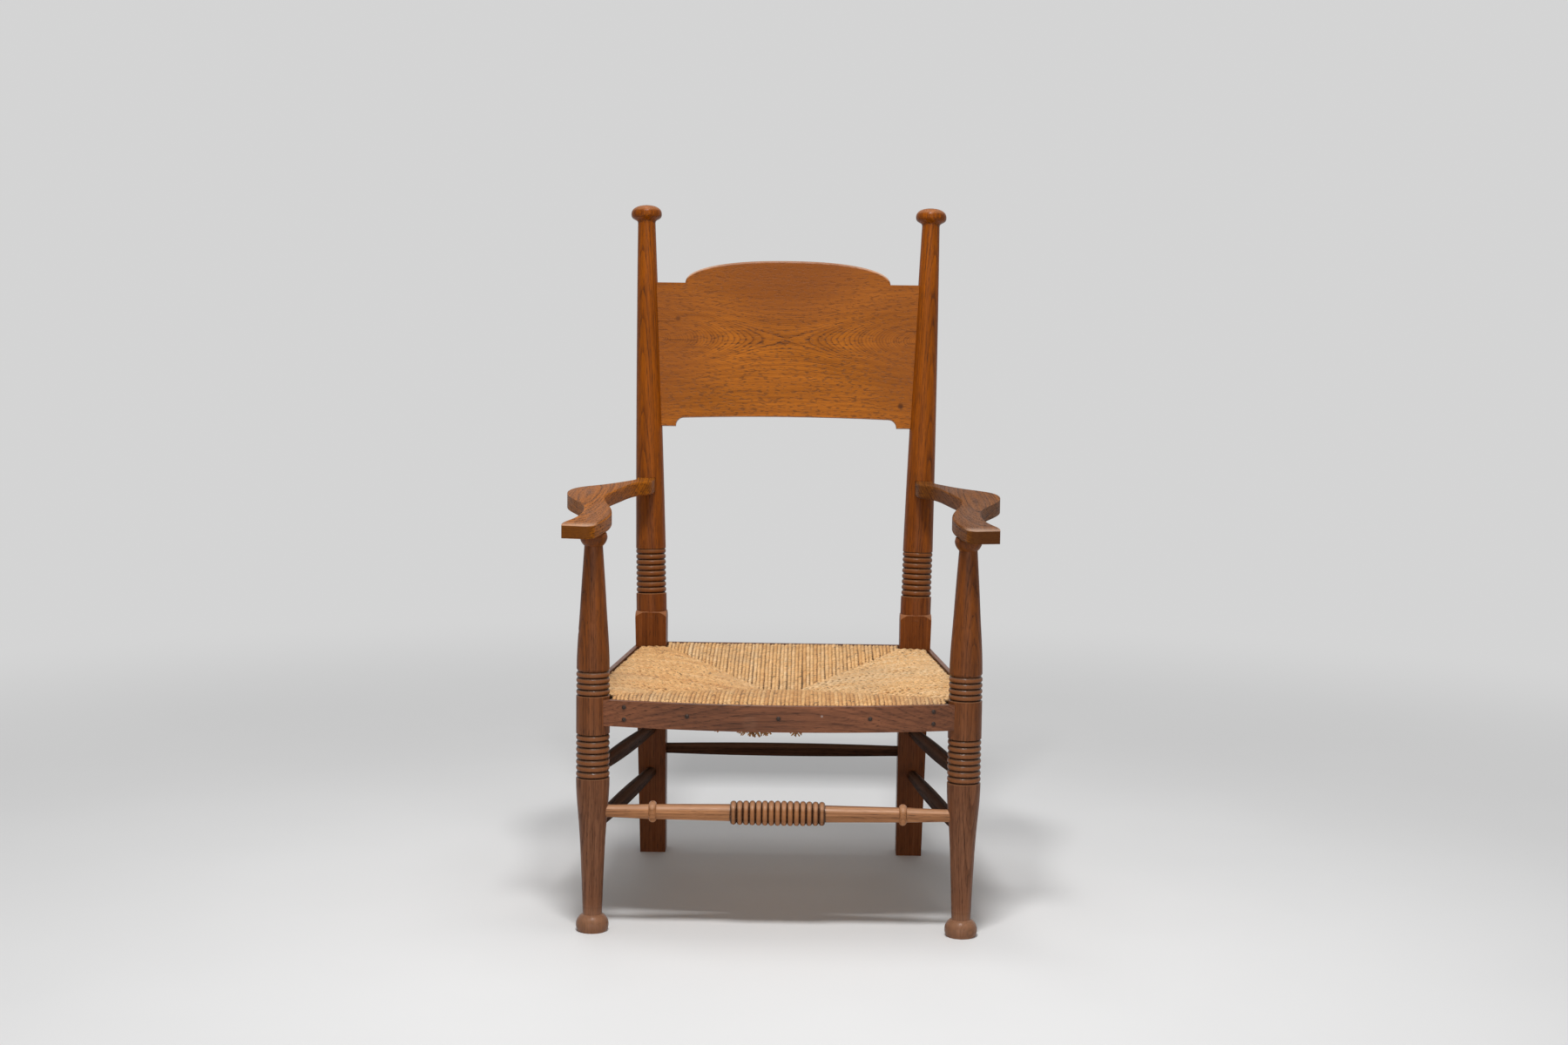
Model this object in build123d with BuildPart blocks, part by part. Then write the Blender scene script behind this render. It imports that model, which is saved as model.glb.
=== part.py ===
# Rush seat armchair: turned posts, shaped arms, a flat back board and a wound rush seat.
# Millimetres, +Z up. The sitter faces -Y and the sitter's left is +X.
# The origin is on the floor, in the middle of the chair's bounding box.
from build123d import *
import os
from math import cos, pi, radians, sin, sqrt, tan

# Layout of the posts
front_post_spacing = 530.0  # between the axes of the front posts
back_post_spacing = 428.0  # between the axes of the back posts, at the top of their square legs
seat_depth = 468.0  # from the front post axes to the back post axes
seat_height = 339.0  # top of the front cover board
seat_tilt = 0.6  # degrees, the seat rises towards the back
fit_clearance = 0.15  # between a tenon, tongue or board end and its socket
soft_clearance = 0.3  # between the rush and the wood that it is wound on

# Front posts, turned from foot to arm
post_radius = 24.0
groove_depth = 2.6  # of the grooves between the turned rings
ring_bevel = 1.5  # length of the bevel beside a row of rings
foot_base_radius = 21.0
foot_radius = 23.6
foot_widest = 9.7  # height of the foot's widest part
foot_height = 23.0
foot_top_radius = 16.8
ankle_radius = 13.8
ankle_slope = 0.03  # at which the leg leaves the ankle
leg_curve = ((0.36, 0.26), (0.68, 0.62))  # shares of the leg's height and of its gain in radius
lower_rings_drop = 114.0  # from the top of the front board down to the start of the lower rings
lower_ring_count = 7
lower_ring_pitch = 8.86
upper_rings_rise = 5.0  # from the top of the front board up to the start of the upper rings
upper_ring_count = 4
upper_ring_pitch = 8.4
vase_shoulder = 4.0  # from the rings to the widest part of the vase
vase_radius = 23.5
vase_curve = ((0.4, 0.34), (0.74, 0.7))  # shares of the vase's height and of its loss in radius
vase_neck_slope = 0.06
vase_neck_radius = 13.2
collar_radius = 19.7
collar_height = 18.0
collar_shoulder = 12.6  # height of its widest part
collar_hollow = 6.1  # height half way up its flare
collar_hollow_radius = 17.9
collar_top_radius = 18.5
arm_tenon_radius = 10.5
arm_tenon_length = 12.0

# Back posts: a square leg, a ringed turning, a bend and a tapered top with a button
foot_square = 41.0
seat_square = 50.0  # side of the square leg at its top
leg_edge_radius = 1.5
square_top = 400.0
foot_kick = 16.0  # how far the foot stands behind the top of the leg
foot_inset = 4.5  # how far the foot stands inside the top of the leg
pommel_drop = 11.0  # from the turned shoulder down to the corners of the square
pommel_curve = (0.6, 0.42)  # shares of the way out to the corners and of the drop
back_collar_radius = 24.5
back_collar_height = 29.0
back_ring_radius = 24.1
back_ring_count = 8
back_ring_pitch = 8.95
ring_lean = 2.5  # degrees, of the turned part above the leg
ring_splay = 1.2
bend_length = 42.0  # tangent length of the bend above the rings
back_lean = 9.2  # degrees, of the straight top
back_splay = 1.75
shaft_radius = 23.0  # at the upper end of the bend
shaft_swell = 0.6  # fullness of the taper, half way up
neck_radius = 14.3
neck_height = 1024.5
button_radius = 24.9
button_skirt = 14.5  # from the neck to the widest part of the button
button_crown = 14.0  # from the widest part to the top of the button
skirt_curve = (0.88, 0.55)  # shares of the button's radius and of its skirt
crown_curve = (0.72, 0.8)  # shares of the button's radius and of its crown

# Arms: flat shaped boards between two slightly different slopes
arm_height = 572.5  # underside at the front edge
arm_rise = 20.5  # rise of the underside from the front edge to the back post
arm_front_thickness = 19.5
arm_back_thickness = 22.5
arm_overhang = 66.0  # from the front post axis to the front edge
arm_tip_skew = 8.0  # how far the outer front corner lies behind the inner one
arm_tip_inner = -10.0  # front corners, outside the line between the post axes
arm_tip_outer = 34.0
arm_end_width = 28.0
arm_end_offset = 4.5  # of the middle of the rear end, outside the back post axis
arm_end_length = 14.0  # straight stretch let into the back post
arm_notch = 6.0  # depth of that notch
arm_stub_radius = 7.0  # round tenon in the notch
arm_stub_length = 14.0
arm_end_round = 5.0  # of the rear end's edges, but for the outer upright one
arm_edge_round = 2.5  # along the front and the inner side, above and below
arm_inner_round = 15.0  # of the inner front corner, seen from above
arm_tip_loss = 0.15 * arm_inner_round  # by which that corner falls short of the front edge
# Edges of the arm: the share of the way from post axis to rear end, and the distance
# outside the straight line between the two posts
arm_inner_edge = ((-0.05, -15.5), (0.12, -14.5), (0.31, 5.0), (0.51, 28.0), (0.71, 21.0), (0.87, 4.0))
arm_outer_edge = ((0.0, 30.0), (0.15, 29.5), (0.32, 46.0), (0.47, 77.0), (0.62, 95.0), (0.72, 88.0),
                  (0.8, 57.0), (0.91, 24.0))

# Back board between the leaning tops of the back posts
panel_thickness = 13.0
panel_end_gap = 9.0  # from the post axis to the end of the board in its groove
panel_tab_drop = 327.0  # from the necks of the posts down to the lower ends of the tabs
panel_lower_drop = 313.0  # down to the ends of the lower edge
panel_lower_arch = 3.0
panel_tab_width = 34.0
panel_cove = 13.0
panel_shoulder_drop = 96.5  # down to the shoulders
panel_arch_half = 167.0
panel_arch_rise = 38.0
panel_arch_power = 2.3  # 2 is an ellipse, more is squarer
panel_arch_points = 14
panel_top_round = 4.0

# Seat rails, wound rush and its stuffing
rail_depth = 18.0
rail_height = 26.0
rail_middle = 17.5  # below the top of the cover boards
rail_tenon_radius = 7.0
rail_tenon_stop = 9.0  # from the post axis to the tip of a rail tenon
rush_wrap = 6.5  # thickness of one layer of rush
rush_proud = 2.0  # crest of the rush above the cover boards
rush_edge_round = 9.0
rush_corner_round = 4.0
rush_crest_inset = 14.0  # from the outside of the rush to its crest
dish_depth = 28.0
ridge_length = 56.0  # where the two side panels of rush meet the front and back panels
ridge_width = 1.0
underside_sag = 5.0

# Cover boards round the seat, and their pins
cover_height = 37.0
front_cover_thickness = 9.0
front_cover_bow = 30.0
front_cover_lap = 16.0  # how far its ends stop short of the post axes
side_cover_thickness = 6.5
side_cover_front_lap = 7.0  # from the front post axis back to the end of the board
cover_housing = 12.0  # length of a board end let into a back post
pin_head_radius = 2.9
pin_flat_radius = 1.75  # flat middle of the head
pin_head_proud = 0.8
pin_head_depth = 1.6
pin_shank_radius = 1.4
pin_length = 26.0
pin_end_x = 219.0  # pairs near the ends of the front board
pin_mid_x = 129.0
pin_pair_spacing = 17.5
side_pin_inset = 40.0  # from the posts' axes to the end pins of a side board

# Stretchers
bar_tenon_stop = 8.0  # from the post axis to the tip of a stretcher
bar_tenon_length = 24.0
bar_end_radius = 8.5
side_bar_radius = 11.5
upper_bar_front = 233.0  # heights of the side stretchers on the post axes
upper_bar_back = 204.0
lower_bar_front = 151.0
lower_bar_back = 133.5
back_bar_height = 171.0
back_bar_radius = 10.8
front_bar_height = 175.0
front_bar_end_radius = 9.1
front_bar_collar_x = 179.0
front_bar_collar_radius = 15.5
front_bar_collar_width = 11.0
front_bar_shaft_radius = 10.8  # beside the collars
front_bar_swell_radius = 12.2  # beside the rings
front_bar_ring_count = 15
front_bar_ring_pitch = 9.03
front_bar_ring_radius = 17.0
front_bar_ring_swell = 1.0  # how much larger the middle ring is
front_bar_groove_depth = 3.2

os.makedirs("parts", exist_ok=True)


def save(piece, node):
    """Label a finished piece and write it as one node."""
    piece.label = node
    export_step(piece, f"parts/{node}.step")


def save_pair(piece, name):
    """Write a piece of the sitter's left side, and its mirror image for the right."""
    save(piece, f"{name}_left")
    save(mirror(piece, about=Plane.YZ), f"{name}_right")


def axis_direction(lean, splay):
    """Direction of a left post's axis that leans back and splays outwards, in degrees."""
    return Vector(tan(radians(splay)), tan(radians(lean)), 1).normalized()


def turning_plane(base, direction, reference):
    """Sketch plane of a turning: local x is the radius and local y runs along the axis."""
    radial = direction.cross(Vector(*reference)).normalized()
    return Plane(origin=base, x_dir=radial, z_dir=radial.cross(direction))


def bead_row(start, pitch, count, radius, depth, swell=0.0):
    """Add the outline of a row of turned rings to the line that is being drawn."""
    for i in range(count):
        place = 2 * (i + 0.5) / count - 1
        crown = radius + swell * (1 - place**2)
        foot = start + i * pitch
        ThreePointArc((radius - depth, foot), (crown, foot + pitch / 2), (radius - depth, foot + pitch))


def point_at_height(base, direction, height):
    """Point of an axis at a height above the floor."""
    return base + direction * ((height - base.Z) / direction.Z)


# Directions of the left back post's two axes, and how far each takes it back
ring_direction = axis_direction(ring_lean, ring_splay)
top_direction = axis_direction(back_lean, back_splay)
back_rings_top = back_collar_height + back_ring_count * back_ring_pitch
bend_offset = ring_direction * (back_rings_top + bend_length)
button_rise = neck_height + button_skirt - square_top - bend_offset.Z
button_back = bend_offset.Y + button_rise * tan(radians(back_lean))

# The chair is centred in its own depth, from the arms' front edges to the buttons
arm_reach = arm_overhang - arm_tip_loss
overall_depth = arm_reach + seat_depth + button_back + button_radius * cos(radians(back_lean))
front_y = arm_reach - overall_depth / 2
back_y = front_y + seat_depth
front_x = front_post_spacing / 2
back_x = back_post_spacing / 2

# Axes of the left back post
leg_top = Vector(back_x, back_y, square_top)
leg_foot = Vector(back_x - foot_inset, back_y + foot_kick, 0)
bend_point = leg_top + bend_offset
bend_start = bend_point - ring_direction * bend_length
bend_end = bend_point + top_direction * bend_length
neck_point = point_at_height(bend_point, top_direction, neck_height)


def leg_axis(height):
    """Point on the axis of the left square leg at a height."""
    return leg_foot + (leg_top - leg_foot) * (height / square_top)


def leg_half(height):
    """Half the side of the square leg at a height."""
    return (foot_square + (seat_square - foot_square) * height / square_top) / 2


# The seat plane lies in the tops of the cover boards, with local y measured from the front posts
seat_up = Vector(0, -sin(radians(seat_tilt)), cos(radians(seat_tilt)))
seat_plane = Plane(origin=(0, front_y, seat_height), x_dir=(1, 0, 0), z_dir=seat_up)


def seat_point(x, y, z):
    """Point given in the seat plane's own frame."""
    return seat_plane.from_local_coords(Vector(x, y, z))


def seat_direction(x, y):
    """Direction given in the seat plane."""
    return (seat_point(x, y, 0) - seat_point(0, 0, 0)).normalized()


seat_leg = leg_axis(seat_height)
seat_leg_half = leg_half(seat_height)
seat_leg_y = seat_leg.Y - front_y
side_outer_front = front_x + post_radius
side_outer_back = seat_leg.X + seat_leg_half
side_slope = (side_outer_back - side_outer_front) / seat_leg_y
side_stretch = sqrt(1 + side_slope**2)
side_direction = seat_direction(side_slope, 1)
rear_face_y = seat_leg_y + seat_leg_half
bow_end_x = front_x - front_cover_lap
bow_end_y = -sqrt(post_radius**2 - front_cover_lap**2)
bow_radius = (bow_end_x**2 + front_cover_bow**2) / (2 * front_cover_bow)
bow_centre_y = bow_end_y - front_cover_bow + bow_radius


def side_x(y, inset):
    """Distance from the middle to a line inside the outer face of the side boards."""
    return side_outer_front + side_slope * y - inset * side_stretch


def bow_y(x, inset):
    """Place of the bowed front line, at a distance inside the face of the front board."""
    return bow_centre_y - sqrt((bow_radius - inset)**2 - x**2)


def bow_corner(bow_inset, side_inset):
    """Front corner where an inset bowed line meets an inset side line."""
    y = bow_y(side_outer_front, bow_inset)
    for _ in range(12):
        y = bow_y(side_x(y, side_inset), bow_inset)
    return side_x(y, side_inset), y


def seat_outline(bow_inset, side_inset):
    """Add the seat's plan to a line: a bowed front, two tapering sides and a straight back."""
    corner_x, corner_y = bow_corner(bow_inset, side_inset)
    rear_y = rear_face_y - side_inset
    rear_x = side_x(rear_y, side_inset)
    ThreePointArc((-corner_x, corner_y), (0, bow_y(0, bow_inset)), (corner_x, corner_y))
    Polyline((corner_x, corner_y), (rear_x, rear_y), (-rear_x, rear_y), (-corner_x, corner_y))


def seat_prism(base, height, inset):
    """Upright block over the seat's plan, drawn in from the rush's outer faces."""
    with BuildPart() as prism:
        with BuildSketch(seat_plane.offset(base)):
            with BuildLine():
                seat_outline(rush_front + inset, rush_side + inset)
            make_face()
        extrude(amount=height)
    return prism.part


def seat_pyramid(base, depth):
    """Shallow four-sided hollow from the crest of the rush down to its short ridge."""
    crest_middle = (bow_y(0, rush_front + rush_crest_inset) + rear_face_y - rush_side - rush_crest_inset) / 2
    with BuildPart() as hollow:
        with BuildSketch(seat_plane.offset(base)):
            with BuildLine():
                seat_outline(rush_front + rush_crest_inset, rush_side + rush_crest_inset)
            make_face()
        with BuildSketch(seat_plane.offset(base - depth)):
            with Locations((0, crest_middle)):
                Rectangle(ridge_length, ridge_width)
        loft(ruled=True)
    return hollow.part


def side_board(extra):
    """Left side cover board, or with extra the housing that its ends need."""
    with BuildPart() as board:
        with BuildSketch(seat_plane.offset(-cover_height - extra)):
            first = side_cover_front_lap - extra
            last = seat_leg_y - seat_leg_half + cover_housing + extra
            with BuildLine():
                Polyline(
                    (side_x(first, -extra), first),
                    (side_x(last, -extra), last),
                    (side_x(last, side_cover_thickness + extra), last),
                    (side_x(first, side_cover_thickness + extra), first),
                    close=True,
                )
            make_face()
        extrude(amount=cover_height + 2 * extra)
    return board.part


def rear_board(extra):
    """Back cover board, or with extra the housing that its ends need."""
    half = seat_leg.X - seat_leg_half + cover_housing + extra
    with BuildPart() as board:
        with BuildSketch(seat_plane.offset(-cover_height - extra)):
            with Locations((0, rear_face_y - side_cover_thickness / 2)):
                Rectangle(2 * half, side_cover_thickness + 2 * extra)
        extrude(amount=cover_height + 2 * extra)
    return board.part


def bowed_strip(half, near, far):
    """Add the plan of a bowed strip to a line, between two distances inside the front board's face."""
    for inset in (near, far):
        ThreePointArc((-half, bow_y(half, inset)), (0, bow_y(0, inset)), (half, bow_y(half, inset)))
    for x in (-half, half):
        Line((x, bow_y(half, near)), (x, bow_y(half, far)))


def front_board(extra):
    """Bowed front cover board, or with extra the housing that its ends need."""
    with BuildPart() as board:
        with BuildSketch(seat_plane.offset(-cover_height - extra)):
            with BuildLine():
                bowed_strip(bow_end_x + extra, -extra, front_cover_thickness + extra)
            make_face()
        extrude(amount=cover_height + 2 * extra)
    return board.part


def socket(axis_point, direction, radius, stop, extra=fit_clearance):
    """Round socket in a post, from the tip of a tenon out through the post's face."""
    with BuildPart() as hole:
        with BuildSketch(Plane(origin=axis_point + direction * (stop - extra), z_dir=direction)):
            Circle(radius + extra)
        extrude(amount=seat_square / 2)
    return hole.part


def square_leg(extra):
    """Tapered square leg of the left back post, or with extra the room that it needs."""
    with BuildPart() as leg:
        for point, side in ((leg_foot, foot_square), (leg_top, seat_square)):
            with BuildSketch(Plane(origin=point)):
                Rectangle(side + 2 * extra, side + 2 * extra)
        loft(ruled=True)
    return leg.part


def spindle(first, last, end_radius, middle_radius):
    """Turned bar between two post axes, with plain ends and a swelled middle."""
    direction = (last - first).normalized()
    length = (last - first).length - 2 * bar_tenon_stop
    base = first + direction * bar_tenon_stop
    with BuildPart() as bar:
        with BuildSketch(turning_plane(base, direction, (0, 0, 1))):
            with BuildLine():
                Polyline((end_radius, bar_tenon_length), (end_radius, 0), (0, 0), (0, length),
                         (end_radius, length), (end_radius, length - bar_tenon_length))
                ThreePointArc((end_radius, bar_tenon_length), (middle_radius, length / 2),
                              (end_radius, length - bar_tenon_length))
            make_face()
        revolve(axis=Axis(base, direction))
    return bar.part


# Seat rails
rush_front = front_cover_thickness + soft_clearance
rush_side = side_cover_thickness + soft_clearance
rail_inset = rush_wrap + soft_clearance
rail_base = -rail_middle - rail_height / 2
front_rail_inset = rush_front + rail_inset
side_rail_inset = rush_side + rail_inset
front_rail_end_x = front_x - post_radius - soft_clearance
front_rail_y = (bow_y(front_rail_end_x, front_rail_inset)
                + bow_y(front_rail_end_x, front_rail_inset + rail_depth)) / 2
front_rail_axis = seat_point(front_x, front_rail_y, -rail_middle)
back_rail_y = rear_face_y - side_rail_inset - rail_depth / 2
back_rail_axis = seat_point(seat_leg.X, back_rail_y, -rail_middle)
back_rail_end_x = seat_leg.X - seat_leg_half - soft_clearance
side_rail_middle = side_rail_inset + rail_depth / 2
side_rail_front = seat_point(side_x(0, side_rail_middle), 0, -rail_middle)
side_rail_back = seat_point(side_x(seat_leg_y, side_rail_middle), seat_leg_y, -rail_middle)


def rail_tenon(axis_point, direction):
    """Round tenon from its tip near a post axis into the body of a rail."""
    with BuildPart() as tenon:
        with BuildSketch(Plane(origin=axis_point + direction * rail_tenon_stop, z_dir=direction)):
            Circle(rail_tenon_radius)
        extrude(amount=seat_square / 2)
    return tenon.part


def side_rail_body(extra):
    """Straight body of the left side rail, or with extra the room that it needs."""
    first = post_radius + soft_clearance - extra
    last = seat_leg_y - seat_leg_half - soft_clearance + extra
    with BuildPart() as body:
        with BuildSketch(seat_plane.offset(rail_base - extra)):
            with BuildLine():
                Polyline(
                    (side_x(first, side_rail_inset - extra), first),
                    (side_x(last, side_rail_inset - extra), last),
                    (side_x(last, side_rail_inset + rail_depth + extra), last),
                    (side_x(first, side_rail_inset + rail_depth + extra), first),
                    close=True,
                )
            make_face()
        extrude(amount=rail_height + 2 * extra)
    return body.part


def front_rail_body(extra):
    """Bowed body of the front rail, or with extra the room that it needs."""
    with BuildPart() as body:
        with BuildSketch(seat_plane.offset(rail_base - extra)):
            with BuildLine():
                bowed_strip(front_rail_end_x + extra, front_rail_inset - extra,
                            front_rail_inset + rail_depth + extra)
            make_face()
        extrude(amount=rail_height + 2 * extra)
    return body.part


def back_rail_body(extra):
    """Straight body of the back rail, or with extra the room that it needs."""
    with BuildPart() as body:
        with BuildSketch(seat_plane.offset(rail_base - extra)):
            with Locations((0, back_rail_y)):
                Rectangle(2 * (back_rail_end_x + extra), rail_depth + 2 * extra)
        extrude(amount=rail_height + 2 * extra)
    return body.part


# Pins of the cover boards: place of each head's middle and the way that it is driven
pin_rows = (-rail_middle + pin_pair_spacing / 2, -rail_middle - pin_pair_spacing / 2)
pin_places = [(x, -rail_middle) for x in (-pin_mid_x, 0, pin_mid_x)]
pin_places += [(x, z) for x in (-pin_end_x, pin_end_x) for z in pin_rows]
front_pins = [(seat_point(x, bow_y(x, 0), z), seat_direction(-x, bow_centre_y - bow_y(x, 0)))
              for x, z in pin_places]
side_inward = seat_direction(-1, side_slope)
side_pin_y = (side_pin_inset, seat_leg_y / 2, seat_leg_y - side_pin_inset)
side_pins = [(seat_point(side_x(y, 0), y, -rail_middle), side_inward) for y in side_pin_y]
back_pin_x = back_rail_end_x - side_pin_inset
rear_pins = [(seat_point(x, rear_face_y, -rail_middle), seat_direction(0, -1))
             for x in (-back_pin_x, 0, back_pin_x)]


def pin_set(pins, extra):
    """Group of round-headed pins, or with extra the holes that they need."""
    with BuildPart() as group:
        for place, inward in pins:
            outer = place - inward * pin_head_proud
            with BuildSketch(turning_plane(outer, inward, (0, 0, 1))):
                with BuildLine():
                    Polyline(
                        (0, -extra),
                        (pin_flat_radius + extra, -extra),
                        (pin_head_radius + extra, pin_head_proud - extra),
                        (pin_head_radius + extra, pin_head_proud + pin_head_depth + extra),
                        (pin_shank_radius + extra, pin_head_proud + pin_head_depth + extra),
                        (pin_shank_radius + extra, pin_length + extra),
                        (0, pin_length + extra),
                        close=True,
                    )
                make_face()
            revolve(axis=Axis(outer, inward))
    return group.part


# Arm slopes
arm_axis_height = arm_height + arm_rise + arm_back_thickness / 2
arm_axis = point_at_height(bend_point, top_direction, arm_axis_height)
arm_shaft_share = (arm_axis - bend_end).length / (neck_point - bend_end).length
arm_shaft_radius = shaft_radius + (neck_radius - shaft_radius) * arm_shaft_share
arm_end_y = arm_axis.Y - arm_shaft_radius + arm_notch
arm_tip_y = front_y - arm_overhang
arm_run = arm_end_y - arm_tip_y
under_slope = arm_rise / arm_run
top_slope = (arm_rise + arm_back_thickness - arm_front_thickness) / arm_run
arm_under = Plane(origin=(0, arm_tip_y, arm_height), x_dir=(1, 0, 0), z_dir=(0, -under_slope, 1))
arm_top = Plane(origin=(0, arm_tip_y, arm_height + arm_front_thickness), x_dir=(1, 0, 0),
                z_dir=(0, -top_slope, 1))
arm_seat_height = arm_height + arm_overhang * under_slope
arm_end_inner = arm_axis.X + arm_end_offset - arm_end_width / 2
arm_end_outer = arm_end_inner + arm_end_width
arm_stub_base = Vector(arm_axis.X + arm_end_offset, arm_end_y, arm_axis_height)


def arm_point(share, offset):
    """Point of the arm's plan beside the line from the front post axis to the back post."""
    return front_x + (arm_axis.X - front_x) * share + offset, front_y + (arm_end_y - front_y) * share


# Axes of the stretchers, from post axis to post axis
upper_bar = (Vector(front_x, front_y, upper_bar_front), leg_axis(upper_bar_back))
lower_bar = (Vector(front_x, front_y, lower_bar_front), leg_axis(lower_bar_back))
front_bar = (Vector(-front_x, front_y, front_bar_height), Vector(front_x, front_y, front_bar_height))
back_bar_end = leg_axis(back_bar_height)
back_bar = (Vector(-back_bar_end.X, back_bar_end.Y, back_bar_height), back_bar_end)


def along(axis):
    """Direction of a bar's axis."""
    return (axis[1] - axis[0]).normalized()


inward_x = Vector(-1, 0, 0)
front_post_cuts = [
    socket(upper_bar[0], along(upper_bar), bar_end_radius, bar_tenon_stop),
    socket(lower_bar[0], along(lower_bar), bar_end_radius, bar_tenon_stop),
    socket(front_bar[1], inward_x, front_bar_end_radius, bar_tenon_stop),
    socket(front_rail_axis, inward_x, rail_tenon_radius, rail_tenon_stop),
    socket(side_rail_front, side_direction, rail_tenon_radius, rail_tenon_stop),
    side_board(fit_clearance),
    front_board(fit_clearance),
]

# Front posts
with BuildPart() as front_post:
    with BuildSketch(turning_plane(Vector(front_x, front_y, 0), Vector(0, 0, 1), (0, 1, 0))):
        groove_radius = post_radius - groove_depth
        leg_base = foot_height + ring_bevel
        lower_rings_base = seat_height - lower_rings_drop
        leg_rise = lower_rings_base - leg_base
        leg_gain = post_radius - ankle_radius
        lower_rings_top = lower_rings_base + lower_ring_count * lower_ring_pitch
        upper_rings_base = seat_height + upper_rings_rise
        upper_rings_top = upper_rings_base + upper_ring_count * upper_ring_pitch
        collar_base = arm_seat_height - collar_height
        collar_widest = (collar_radius, collar_base + collar_shoulder)
        vase_base = upper_rings_top + vase_shoulder
        vase_rise = collar_base - vase_base
        vase_loss = vase_radius - vase_neck_radius
        leg_points = [(ankle_radius + leg_gain * gain, leg_base + leg_rise * rise)
                      for rise, gain in leg_curve]
        vase_points = [(vase_radius - vase_loss * loss, vase_base + vase_rise * rise)
                       for rise, loss in vase_curve]
        with BuildLine():
            Polyline((0, collar_base + 2 * collar_height), (0, 0), (foot_base_radius, 0))
            ThreePointArc((foot_base_radius, 0), (foot_radius, foot_widest), (foot_top_radius, foot_height))
            Line((foot_top_radius, foot_height), (ankle_radius, leg_base))
            Spline((ankle_radius, leg_base), *leg_points, (post_radius, lower_rings_base - ring_bevel),
                   tangents=((ankle_slope, 1), (0, 1)))
            Line((post_radius, lower_rings_base - ring_bevel), (groove_radius, lower_rings_base))
            bead_row(lower_rings_base, lower_ring_pitch, lower_ring_count, post_radius, groove_depth)
            Polyline(
                (groove_radius, lower_rings_top),
                (post_radius, lower_rings_top + ring_bevel),
                (post_radius, upper_rings_base - ring_bevel),
                (groove_radius, upper_rings_base),
            )
            bead_row(upper_rings_base, upper_ring_pitch, upper_ring_count, post_radius, groove_depth)
            Line((groove_radius, upper_rings_top), (vase_radius, vase_base))
            Spline((vase_radius, vase_base), *vase_points, (vase_neck_radius, collar_base),
                   tangents=((0, 1), (-vase_neck_slope, 1)))
            ThreePointArc((vase_neck_radius, collar_base),
                          (collar_hollow_radius, collar_base + collar_hollow), collar_widest)
            Polyline(
                collar_widest,
                (collar_top_radius, collar_base + collar_height),
                (collar_top_radius, collar_base + 2 * collar_height),
                (0, collar_base + 2 * collar_height),
            )
        make_face()
    revolve(axis=Axis((front_x, front_y, 0), (0, 0, 1)))
    split(bisect_by=arm_under, keep=Keep.BOTTOM)
    with BuildSketch(Plane(origin=(front_x, front_y, collar_base))):
        Circle(arm_tenon_radius)
    extrude(amount=arm_seat_height + arm_tenon_length - collar_base)
    add(front_post_cuts, mode=Mode.SUBTRACT)
save_pair(front_post.part, "front_post")

# Back board: its plane holds the two leaning post axes, with local y along their lean
panel_plane = Plane(origin=(0, bend_point.Y, bend_point.Z), x_dir=(1, 0, 0),
                    z_dir=(0, -cos(radians(back_lean)), sin(radians(back_lean))))


def panel_y(height):
    """Place on the back board's plane of a height above the floor."""
    return (height - bend_point.Z) / cos(radians(back_lean))


def panel_end_x(y):
    """End of the back board, beside the post axis."""
    return bend_point.X + y * tan(radians(back_splay)) * cos(radians(back_lean)) - panel_end_gap


def arch_point(turn):
    """Point of the arched top, a squared-off half ellipse, from its left foot to its right."""
    run = cos(turn)
    x = panel_arch_half * abs(run) ** (2 / panel_arch_power)
    rise = panel_arch_rise * abs(sin(turn)) ** (2 / panel_arch_power)
    return (x if run > 0 else -x), panel_shoulder + rise


panel_foot = panel_y(neck_height - panel_tab_drop)
panel_low = panel_y(neck_height - panel_lower_drop)
panel_shoulder = panel_y(neck_height - panel_shoulder_drop)
with BuildPart() as panel_groove:
    with BuildSketch(panel_plane.offset(-panel_thickness / 2 - fit_clearance)):
        with BuildLine():
            low = panel_foot - fit_clearance
            high = panel_shoulder + fit_clearance
            Polyline(
                (panel_end_x(low) + fit_clearance, low),
                (panel_end_x(high) + fit_clearance, high),
                (panel_end_x(high) - shaft_radius, high),
                (panel_end_x(low) - shaft_radius, low),
                close=True,
            )
        make_face()
    extrude(amount=panel_thickness + 2 * fit_clearance)

# Notch and round socket for the rear end of an arm
with BuildPart() as arm_housing:
    with BuildSketch(Plane.XY.offset(arm_height)):
        with Locations(((arm_end_inner + arm_end_outer) / 2, arm_end_y + fit_clearance)):
            Rectangle(arm_end_width + 2 * fit_clearance, 2 * shaft_radius, align=(Align.CENTER, Align.MAX))
    extrude(amount=2 * (arm_rise + arm_back_thickness))
    split(bisect_by=arm_top.offset(fit_clearance), keep=Keep.BOTTOM)
    split(bisect_by=arm_under.offset(-fit_clearance), keep=Keep.TOP)
    with BuildSketch(Plane(origin=arm_stub_base, z_dir=(0, 1, 0))):
        Circle(arm_stub_radius + fit_clearance)
    extrude(amount=arm_stub_length + fit_clearance)

back_post_cuts = [
    socket(upper_bar[1], -along(upper_bar), bar_end_radius, bar_tenon_stop),
    socket(lower_bar[1], -along(lower_bar), bar_end_radius, bar_tenon_stop),
    socket(back_bar[1], inward_x, bar_end_radius, bar_tenon_stop),
    socket(back_rail_axis, inward_x, rail_tenon_radius, rail_tenon_stop),
    socket(side_rail_back, -side_direction, rail_tenon_radius, rail_tenon_stop),
    side_board(fit_clearance),
    rear_board(fit_clearance),
    panel_groove.part,
    arm_housing.part,
]

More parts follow.
